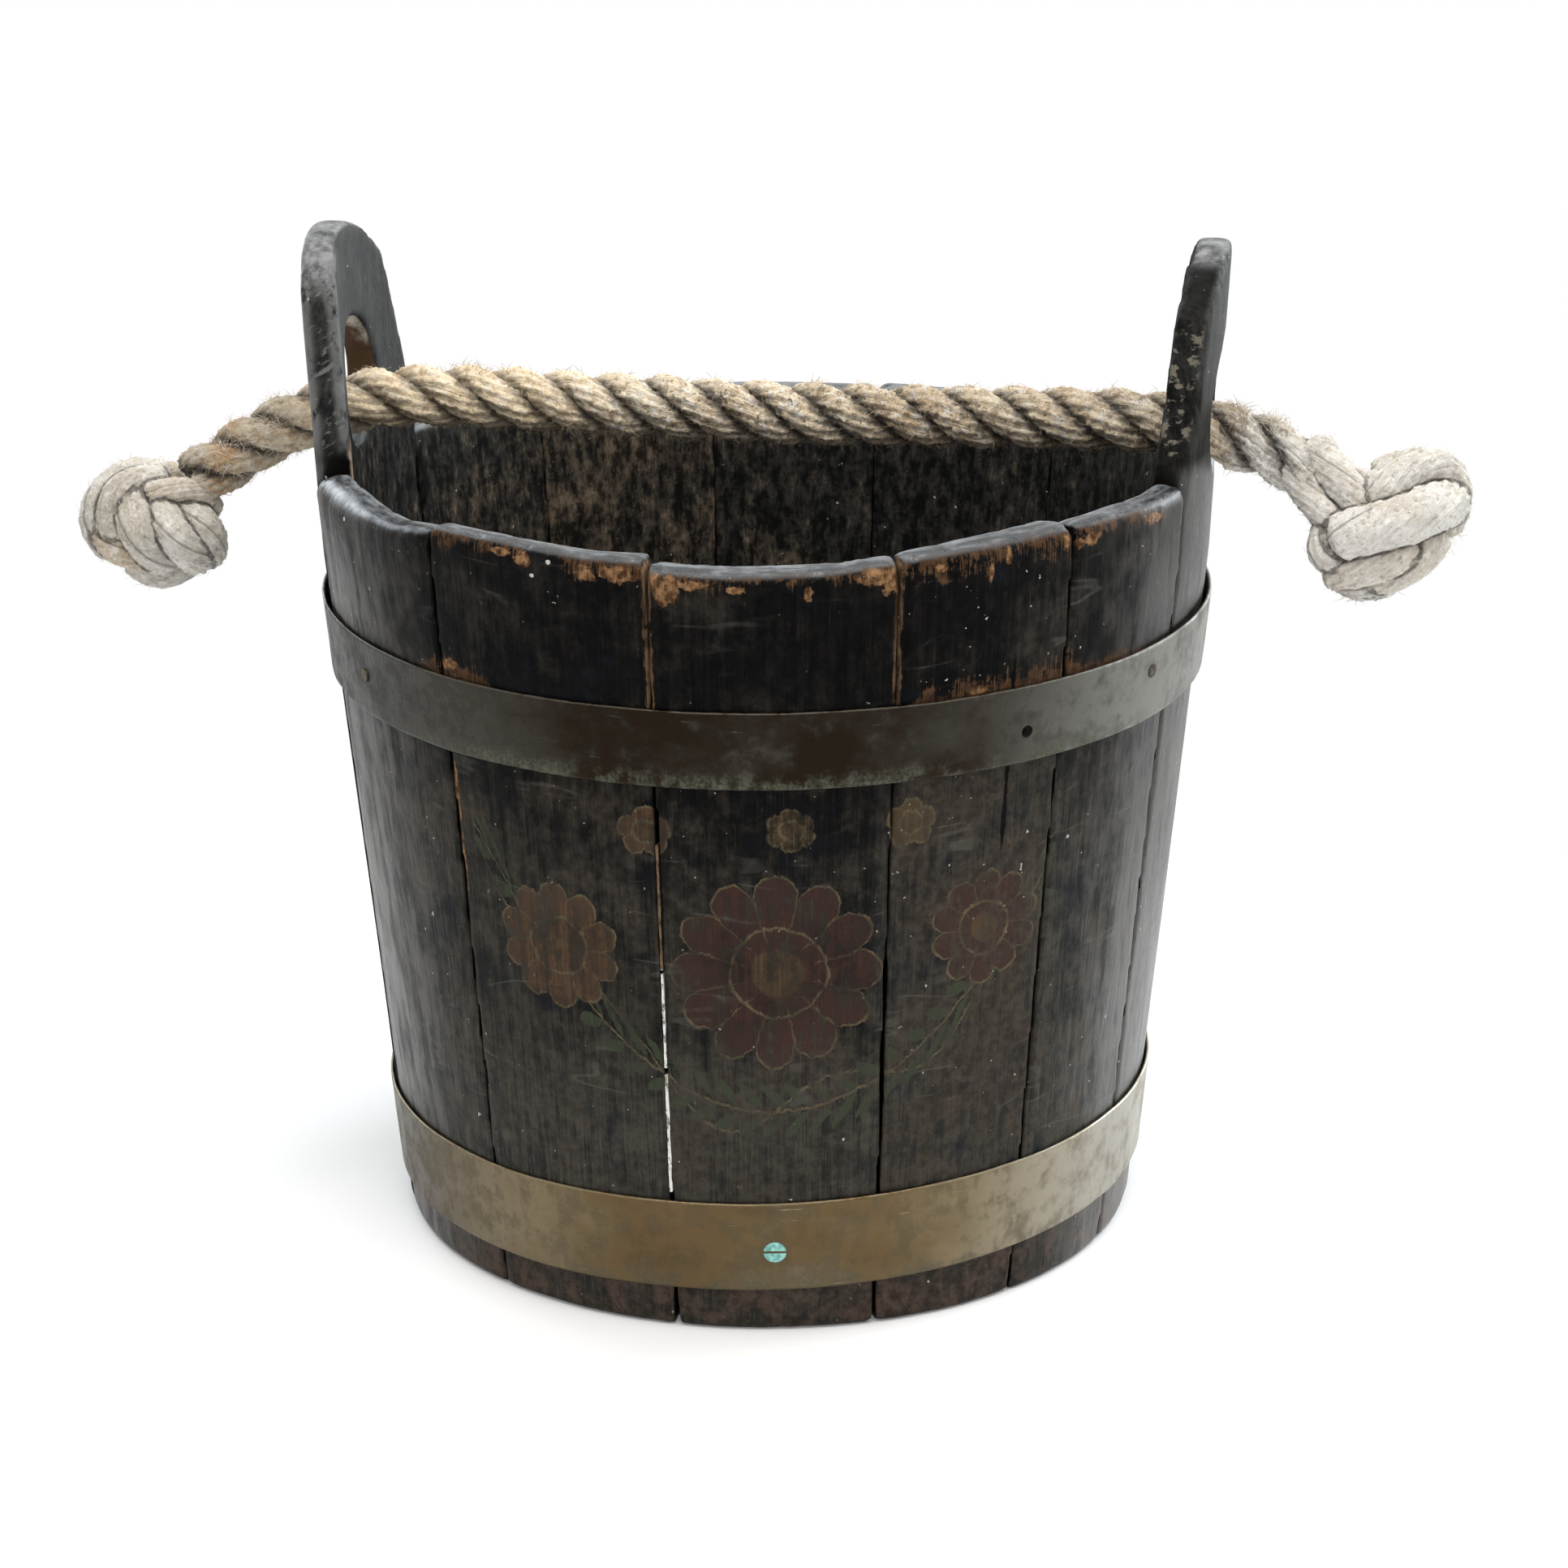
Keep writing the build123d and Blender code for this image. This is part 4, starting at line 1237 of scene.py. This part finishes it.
def crevices(spots, owners, lines, girths):
    """How near each point comes to another strand's surface, from 0 when clear to 1 at a crease, for
    the painted shade in the creases.
    """
    near = np.full(len(spots), np.inf)
    for number, line in enumerate(lines):
        share = np.linspace(0, 1, len(line))
        rounding = np.minimum(share * (1 - share) * 4 / knot_end_round + 0.02, 1.0) ** 0.5
        radius = girths[number] * knot_strand * rounding
        others = np.flatnonzero(owners != number)
        for lump in np.array_split(others, 20):
            gaps = np.sqrt(((spots[lump][:, None, :] - line[None]) ** 2).sum(axis=2)) - radius
            near[lump] = np.minimum(near[lump], gaps.min(axis=1))
    return np.clip(1.0 - near / crease_width, 0, 1)


def make_knot(name, middle, neck_way, ball, lobes, neck_lobes=0):
    """Knot of swept strands over a ball, as one mesh; those at its neck aren't repeated."""
    half_round = Matrix.Rotation(pi, 3, neck_way)
    lines, girths, tints = [], [], []
    for number, (girth, tint, spots) in enumerate(lobes):
        for turned in (False, True):
            if turned and number < neck_lobes:
                continue
            places = [Vector(spot) for spot in spots]
            if turned:
                places = [half_round @ place * far_side for place in places]
            places = [middle + front_view @ place * MM for place in places]
            lines.append(smooth_line(f"{name}_lobe_{number}", places, 10))
            girths.append(girth)
            tints.append(tint)
    knot = run_tree(name, line_mesh(name + "_lines", lines, girths, tints), laid_rope, {
        "Step": 0.8 * MM, "Strands": 1, "Arm": 0.0, "Strand Radius": knot_strand, "Lay": 60 * MM,
        "Yarns": 13, "Yarn Depth": 0.35 * MM, "Yarn Lay": -110 * MM, "Looseness": 0.16,
        "End Round": knot_end_round, "Fray": 2.3 * MM,
    })
    owners = np.empty(len(knot.data.vertices))
    knot.data.attributes["owner"].data.foreach_get("value", owners)
    creased = crevices(points_of(knot.data), np.rint(owners), lines, girths)
    keep_values(knot.data, "valley", creased)
    core = bmesh.new()
    core.from_mesh(knot.data)
    deep = core.verts.layers.float["valley"]
    shape = Matrix.Diagonal((*(reach * MM for reach in ball), 1))
    place = Matrix.Translation(middle) @ front_view.to_4x4() @ shape
    made = bmesh.ops.create_icosphere(core, subdivisions=4, radius=1.0, matrix=place)
    # painted shade: the ball inside is painted fully as valley, so it is dark
    for vert in made["verts"]:
        vert[deep] = 1.0
    core.to_mesh(knot.data)
    core.free()
    dress(knot.data, knot_fibre)
    return knot


left_knot = make_knot("left_knot_strands", left_knot_middle, left_neck_way, left_ball, left_lobes)
right_knot = make_knot("right_knot_strands", right_knot_middle, right_neck_way, right_ball, right_lobes,
                       neck_lobes=2)

# %% [markdown]
# ## Loose fibres
# Old rope is hairy. Short curved hairs are scattered over the strands, each a thin tapering
# tube of three sides, so that thousands of them stay light.

# %% Loose fibres
tree, start, given = new_tree("loose_fibres", {
    "Density": FLOAT, "Length": FLOAT, "Thickness": FLOAT, "Seed": INT,
})
hairy = kept_value(start, "hairy")
scatter = {"Mesh": given["Geometry"], "Density": given["Density"] * hairy, "Seed": given["Seed"]}
spots = start.node("GeometryNodeDistributePointsOnFaces", {"distribute_method": "RANDOM"}, scatter)
turned = Wire(tree, spots.socket.node.outputs["Rotation"])
bow = {"Start": (0, 0, -0.1), "Middle": (0.25, 0.1, 0.35), "End": (0.95, 0.25, 0.55)}
hair = start.node("GeometryNodeCurveQuadraticBezier", None, {"Resolution": 3, **bow})
reach = start.node("GeometryNodeSplineParameter")
thread = start.node("GeometryNodeCurvePrimitiveCircle", {"mode": "RADIUS"},
                    {"Resolution": 3, "Radius": given["Thickness"] / given["Length"]})
hair = start.node("GeometryNodeCurveToMesh", None,
                  {"Curve": hair, "Profile Curve": thread, "Scale": 1 - reach * 0.8, "Fill Caps": True})


def any_between(start, low, high, seed):
    settings, inputs = {"data_type": "FLOAT"}, {2: low, 3: high, "Seed": seed}
    return start.node("FunctionNodeRandomValue", settings, inputs, out=1)


spin = any_between(start, 0.0, 2 * pi, 3)
lean = any_between(start, -0.5, 0.5, 4)
size = any_between(start, 0.35, 1.3, 5) * given["Length"] * (0.9 + hairy * 0.1)
twist = start.node("FunctionNodeRotateRotation", {"rotation_space": "LOCAL"},
                   {"Rotation": turned, "Rotate By": start.vector(lean, lean * 0.7, spin)})
hairs = start.node("GeometryNodeInstanceOnPoints", None, {
    "Points": spots, "Instance": hair, "Rotation": twist, "Scale": start.vector(size, size, size),
})
end_tree(start, hairs, hair_fibre)
loose_fibres = tree

hair_thickness = 0.11 * MM
tufts = [  # mm to the right, mm up, reach in mm, how many times more hairs
    (176.0, 313.0, 7.0, 9.0), (189.0, 308.0, 7.0, 6.0), (219.0, 296.0, 4.0, 10.0),
    (214.0, 240.0, 11.0, 6.0), (252.0, 268.0, 10.0, 3.0), (-110.0, 322.0, 9.0, 3.0),
    (-75.0, 300.0, 8.0, 4.0), (20.0, 318.0, 8.0, 4.0), (-184.0, 297.0, 14.0, 5.0),
    (-203.0, 286.0, 12.0, 5.0),
]
for thing in (rope, left_knot, right_knot):
    spots = points_of(thing.data) / MM
    hairy = np.ones(len(spots))
    for at_x, at_z, reach, more in tufts:
        hairy += more * np.clip(1 - np.hypot(spots[:, 0] - at_x, spots[:, 2] - at_z) / reach, 0, 1)
    keep_values(thing.data, "hairy", hairy)
rope_fuzz = {"Density": 110000.0, "Length": 2.8 * MM, "Thickness": hair_thickness, "Seed": 11}
knot_fuzz = {"Density": 45000.0, "Length": 3.0 * MM, "Thickness": hair_thickness, "Seed": 12}
rope_hairs = run_tree("rope_hairs", rope.data.copy(), loose_fibres, rope_fuzz)
knot_hairs = [
    run_tree(knot.name.replace("strands", "hairs"), knot.data.copy(), loose_fibres, knot_fuzz)
    for knot in (left_knot, right_knot)
]

# %% [markdown]
# ## Wearing the wood
# The solids have the right sizes but sharp, perfect edges. A fine voxel remesh of a copy,
# rubbed smooth, rounds every edge the way handling does. Then a short numpy step bends the
# rim to its real uneven line, and a Geometry Nodes step moves the surface along its normal
# with noise that is stretched along the grain.

# %% Rubbing a copy of a solid
foot_end = 12 * MM
end_reach = 8 * MM


def neighbour_average(mesh):
    """Function that averages values over each point's neighbours."""
    pairs = np.empty(len(mesh.edges) * 2, dtype=np.int32)
    mesh.edges.foreach_get("vertices", pairs)
    one, two = pairs.reshape(-1, 2).T
    count = np.maximum(np.bincount(pairs, minlength=len(mesh.vertices)), 1)[:, None]

    def average(values):
        total = np.zeros_like(values)
        np.add.at(total, one, values[two])
        np.add.at(total, two, values[one])
        return total / count

    return average


def rubbed_copy(node, voxel, passes, ends_from):
    """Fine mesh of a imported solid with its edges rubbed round, most at its two ends."""
    mesh = nodes[node].data.copy()
    loose = bmesh.new()
    loose.from_mesh(mesh)
    bmesh.ops.remove_doubles(loose, verts=loose.verts, dist=1e-6)
    loose.to_mesh(mesh)
    loose.free()
    holder = add_object(node + "_copy", mesh)
    remesh = holder.modifiers.new("voxels", "REMESH")
    remesh.mode = "VOXEL"
    remesh.voxel_size = voxel
    worn = evaluated_mesh(holder)
    bpy.data.objects.remove(holder)
    spots = points_of(worn)
    average = neighbour_average(worn)
    height = spots[:, 2]
    at_ends = np.maximum(height - ends_from, foot_end - height) / end_reach
    pull = (0.18 + 0.32 * np.clip(at_ends, 0, 1))[:, None]
    for _ in range(passes):
        spots = spots + (average(spots) - spots) * pull
    worn.vertices.foreach_set("co", spots.ravel())
    worn.update()
    return worn


def keep_wear(mesh, full, tone, rim):
    """Keeps how far each point stands out, which way it faces, how far below the rim it is
    and the stave's own number."""
    spots = points_of(mesh)
    normals = vectors_of(mesh.vertex_normals, "vector")
    average = neighbour_average(mesh)
    hollow = average(average(average(spots)))
    stand = average(average(((spots - hollow) * normals).sum(axis=1)[:, None]))
    outwards = spots[:, :2] / np.linalg.norm(spots[:, :2], axis=1)[:, None]
    keep_values(mesh, "edge", np.clip(stand[:, 0] / full, -1, 1))
    keep_values(mesh, "facing", (normals[:, :2] * outwards).sum(axis=1))
    keep_values(mesh, "upward", normals[:, 2])
    keep_values(mesh, "below", rim - spots[:, 2] / MM)
    keep_values(mesh, "tone", np.full(len(spots), tone))


# %% The rim's line
# angle, height outside, height inside; a line of text or two for each front stave
rim_line = [
    (-70.5, 290.0, 293.0), (-66.5, 292.5, 295.5), (-62.0, 291.8, 296.0), (-56.0, 290.5, 295.5),
    (-50.0, 291.5, 293.5), (-44.0, 291.2, 292.0), (-36.5, 293.4, 294.0),
    (-35.5, 296.0, 295.0), (-26.0, 296.0, 295.0), (-13.0, 293.5, 293.7), (-6.5, 293.5, 294.2),
    (-5.5, 290.0, 291.5), (4.0, 289.0, 290.8), (15.0, 290.0, 291.5), (23.0, 292.5, 293.0),
    (24.0, 293.2, 293.8), (32.0, 294.8, 296.3), (39.0, 295.5, 298.0), (44.0, 295.8, 299.0),
    (46.5, 297.0, 297.0),
    (47.5, 297.0, 296.0), (56.0, 296.8, 297.5), (65.0, 296.3, 297.5), (70.5, 296.8, 298.5),
]
rim_reach = 40.0


def bend_rim(mesh, top):
    """Moves a front stave's end from its level cut to the rim's uneven line, high or low inside."""
    spots = points_of(mesh) / MM
    angle = np.degrees(np.arctan2(spots[:, 0], -spots[:, 1]))
    angles, outer, inner = zip(*rim_line)
    depth = foot_radius + taper * spots[:, 2] - np.hypot(spots[:, 0], spots[:, 1])
    lean = np.clip(depth / stave_thickness, 0, 1)
    target = np.interp(angle, angles, outer) * (1 - lean) + np.interp(angle, angles, inner) * lean
    share = np.clip((spots[:, 2] - (top - rim_reach)) / rim_reach, 0, 1)
    spots[:, 2] += (target - top) * share**2 * (3 - 2 * share)
    mesh.vertices.foreach_set("co", (spots * MM).ravel())
    mesh.update()
    return target


# %% Weathering
tree, start, given = new_tree("weathering", {
    "Swell": FLOAT, "Grain": FLOAT, "Chips": FLOAT, "Shrink": FLOAT, "Seed": FLOAT,
})
x, y, z = start.node("GeometryNodeInputPosition").split()
seed = given["Seed"] * 7.3
broad = start.vector(x * 22 + seed, y * 22, z * 9).noise(2.0, 0.5) - 0.5
streak = start.vector(x * 210 + seed, y * 210, z * 9).noise(3.0, 0.6) - 0.5
bite = start.vector(x * 90 + seed, y * 90, z * 45).noise(4.0, 0.65)
edge, facing, upward = (kept_value(start, name) for name in ("edge", "facing", "upward"))
flank = (facing * facing + upward * upward).rise(0.5, 0.1)
opening = start.vector(seed, 0.0, z * 14).noise(2.0, 0.5).rise(0.3, 0.7)
depth = foot_radius * MM + taper * z - (x * x + y * y) ** 0.5
opening = depth.rise(8 * MM, 4 * MM) * opening - depth.rise(6 * MM, 9 * MM) * 0.35
angle = angle_round(x, y)
tight = sum(
    abs(angle - seam).rise(4, 3) * z.rise((low - 3) * MM, (low + 3) * MM)
    for seam, low in tan_seams.items()
)
opening = opening * (1 - tight) - tight * 0.35
knocks = 0.25 + 0.75 * z.rise(245 * MM, 262 * MM)
loss = bite.rise(0.5, 0.72) * edge.rise(0.15, 0.7) * given["Chips"] * knocks
offset = broad * given["Swell"] + streak * given["Grain"] - loss - flank * opening * given["Shrink"]
move = times(start, start.node("GeometryNodeInputNormal"), offset)
worn = moved(start, given["Geometry"], move)
worn = start.node("GeometryNodeSetShadeSmooth", None, {0: worn})
end_tree(start, worn, painted_oak)
weathering = tree

# %% Staves and ears
plain_staves = [f"{side}_stave_{number}" for side in ("front", "back") for number in range(1, 6)]
stave_voxel = 1.5 * MM
rub_passes = 8
full_edge = 0.5 * MM
weather = {"Swell": 1.2 * MM, "Grain": 0.22 * MM, "Chips": 1.7 * MM, "Shrink": 0.75 * MM}
staves = {}
for number, node in enumerate(plain_staves + ["left_ear_stave", "right_ear_stave"]):
    on_ear = node.endswith("ear_stave")
    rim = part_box(node)[1][2] / MM
    mesh = rubbed_copy(node, stave_voxel, rub_passes, (368 if on_ear else 280) * MM)
    if node.startswith("front"):
        rim = bend_rim(mesh, rim)
    keep_wear(mesh, full_edge, (number * 0.377) % 1.0, rim)
    stave = run_tree(node + "_worn", mesh, weathering, {**weather, "Seed": float(number)})
    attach(stave, "bucket")
    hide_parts(node)
    staves[node] = stave

# %% [markdown]
# ## Hoops
# Each hoop is a strip of sheet brass bent round the cone, its ends lapped at the back. A
# sweep of a thin rounded section along the hoop's line gives the strip; noise dents it and
# makes its edges wander, and a little extra room at the sides lets it stand off the wood.

# %% Hoop strips
tree, start, given = new_tree("hoop_strip", {
    "Height": FLOAT, "Width": FLOAT, "Thickness": FLOAT, "Proud": FLOAT, "Tilt X": FLOAT,
    "Tilt Y": FLOAT, "From": FLOAT, "Sweep": FLOAT, "Stand Off": FLOAT, "Dents": FLOAT, "Seed": FLOAT,
})
arc_steps = 420
arc = start.node("GeometryNodeCurveArc", {"mode": "RADIUS"}, {
    "Resolution": arc_steps, "Radius": 1.0, "Start Angle": given["From"], "Sweep Angle": given["Sweep"],
})
east, north, _ = start.node("GeometryNodeInputPosition").split()
level_radius = foot_radius * MM + taper * given["Height"]
lift = (east * given["Tilt X"] + north * given["Tilt Y"]) * level_radius
height = given["Height"] + given["Width"] * 0.5 + lift
aside = (east * east) ** 4.0
wall = foot_radius * MM + taper * height
reach = wall + given["Proud"] + given["Thickness"] * 0.5 + aside * given["Stand Off"]
strip = start.node("GeometryNodeSetPosition", None,
                   {0: arc, "Position": start.vector(east * reach, north * reach, height)})
strip = start.node("GeometryNodeSetCurveNormal", {"mode": "Z_UP"}, {0: strip})
strip = start.node("GeometryNodeSetCurveTilt", None, {0: strip, "Tilt": atan(taper)})
section = start.node("GeometryNodeCurvePrimitiveQuadrilateral", {"mode": "RECTANGLE"},
                     {"Width": given["Thickness"], "Height": given["Width"]})
section = start.node("GeometryNodeFilletCurve", {"mode": "POLY"},
                     {0: section, "Count": 4, "Radius": given["Thickness"] * 0.42})
section = start.node("GeometryNodeResampleCurve", {"mode": "LENGTH"}, {0: section, "Length": 0.9 * MM})
_, up_strip, _ = start.node("GeometryNodeInputPosition").split()
section = store(start, section, "across", up_strip / given["Width"] + 0.5)
sweep = {"Curve": strip, "Profile Curve": section, "Fill Caps": True}
strip = start.node("GeometryNodeCurveToMesh", None, sweep)
spot = start.node("GeometryNodeInputPosition")
shift = start.vector(given["Seed"], 0.0, 0.0)
near = start.node("ShaderNodeVectorMath", {"operation": "ADD"}, {0: spot, 1: shift})
dent = near.noise(2.0, 0.5, 30.0) - 0.5
wander = near.noise(2.0, 0.5, 14.0) - 0.5
x, y, _ = spot.split()
push = dent * given["Dents"] / (x * x + y * y) ** 0.5
strip = moved(start, strip, start.vector(x * push, y * push, wander * given["Dents"] * 1.5))
end_tree(start, strip, upper_brass)
hoop_strip = tree

# %% Both hoops
strip_thickness = 1.2 * MM
hoop_room = 0.2 * MM
lap_sweep = radians(15)
hoop_dents = 0.9 * MM
hoops = {
    "upper_hoop": (upper_brass, {
        "Height": upper_hoop_foot * MM, "Width": upper_hoop_width * MM,
        "Tilt X": 0.0, "Tilt Y": upper_hoop_tilt, "Stand Off": 1.6 * MM, "Seed": 0.3,
    }),
    "lower_hoop": (lower_brass, {
        "Height": 20.2 * MM, "Width": 35.7 * MM,
        "Tilt X": 0.021, "Tilt Y": 0.024, "Stand Off": 0.6 * MM, "Seed": 1.7,
    }),
}
strips = {}
for node, (brass, sizes) in hoops.items():
    ring = {
        "Thickness": strip_thickness, "Proud": hoop_room, "Dents": hoop_dents, **sizes,
        "From": radians(90.5), "Sweep": radians(359),
    }
    lap_from = radians(90) - lap_sweep / 2
    lap = {**ring, "Proud": hoop_room + strip_thickness, "From": lap_from, "Sweep": lap_sweep}
    hoop = run_tree(node + "_strip", bpy.data.meshes.new(node), hoop_strip, ring)
    end = run_tree(node + "_lap", bpy.data.meshes.new(node), hoop_strip, lap)
    for piece in (hoop, end):
        dress(piece.data, brass)
        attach(piece, "bucket")
    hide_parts(node)
    strips[node] = hoop

# %% [markdown]
# ## A lost nail and a filled seam
# One nail of the upper hoop has gone and left its hole, so the strip and the stave behind it
# are drilled with a Boolean. One open seam in front has been stopped with putty, in three thin
# uneven slivers that lie a little below the surface of the staves.


# %% Nail hole
def on_cone(angle, height, inset=0.0):
    """Point on the bucket's outside, or that far inside it, in metres."""
    radius = foot_radius + taper * height - inset
    return Vector((sin(radians(angle)) * radius, -cos(radians(angle)) * radius, height)) * MM


def drill(piece, angle, height, diameter):
    """Cuts a round hole square to the bucket's wall."""
    way = Vector((sin(radians(angle)), -cos(radians(angle)), -taper)).to_track_quat("Z", "Y")
    bit = bpy.data.meshes.new("bit")
    shape = bmesh.new()
    place = Matrix.Translation(on_cone(angle, height)) @ way.to_matrix().to_4x4()
    radius = diameter / 2
    bmesh.ops.create_cone(shape, cap_ends=True, segments=20, radius1=radius, radius2=radius,
                          depth=drill_reach, matrix=place)
    shape.to_mesh(bit)
    shape.free()
    holder = add_object("bit", bit)
    cut = piece.modifiers.new("hole", "BOOLEAN")
    cut.object = holder
    cut.solver = "EXACT"
    made = evaluated_mesh(piece)
    piece.modifiers.clear()
    piece.data = made
    bpy.data.objects.remove(holder)
    print(piece.name, "drilled, now", len(made.vertices), "points")


lost_nail = (41.3, 225.2)
hoop_hole = 4.6 * MM
stave_hole = 3.2 * MM
drill_reach = 16.0 * MM
drill(strips["upper_hoop"], *lost_nail, hoop_hole)
drill(staves["front_stave_4"], *lost_nail, stave_hole)

# %% Putty
putty_angle = -6.0
# from and to which height, and how wide
putty_runs = [(55.0, 101.5, 1.35), (104.5, 141.0, 1.0), (142.5, 190.0, 0.9)]
putty_depth = (0.5, 5.0)
putty_rings = 30
spots, faces = [], []
for low, high, width in putty_runs:
    first = len(spots)
    for ring in range(putty_rings + 1):
        height = low + (high - low) * ring / putty_rings
        uneven = 0.9 + 0.10 * sin(height * 0.31) + 0.07 * sin(height * 1.1 + 1.0)
        half = width * uneven / 2 / arc_per_degree
        for side, depth in ((-1, 0), (1, 0), (1, 1), (-1, 1)):
            spots.append(on_cone(putty_angle + side * half, height, putty_depth[depth]))
    for ring in range(putty_rings):
        row = first + ring * 4
        faces += [(row + i, row + (i + 1) % 4, row + (i + 1) % 4 + 4, row + i + 4) for i in range(4)]
    last = len(spots) - 4
    faces += [(first + 3, first + 2, first + 1, first), (last, last + 1, last + 2, last + 3)]
putty_mesh = bpy.data.meshes.new("seam_putty")
putty_mesh.from_pydata(spots, [], faces)
putty_mesh.materials.append(seam_putty)
putty = add_object("seam_putty", putty_mesh)
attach(putty, "bucket")
print("putty in", len(putty_runs), "runs,", len(faces), "faces")

# %% [markdown]
# ## The handle's pieces
# The rope, its knots and its loose fibres ride on the handle, which lifts in the ears.

# %% The handle's pieces
for piece in (rope, left_knot, right_knot, rope_hairs, *knot_hairs):
    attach(piece, "handle")
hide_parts("rope_handle")
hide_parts("left_stopper_knot")
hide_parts("right_stopper_knot")
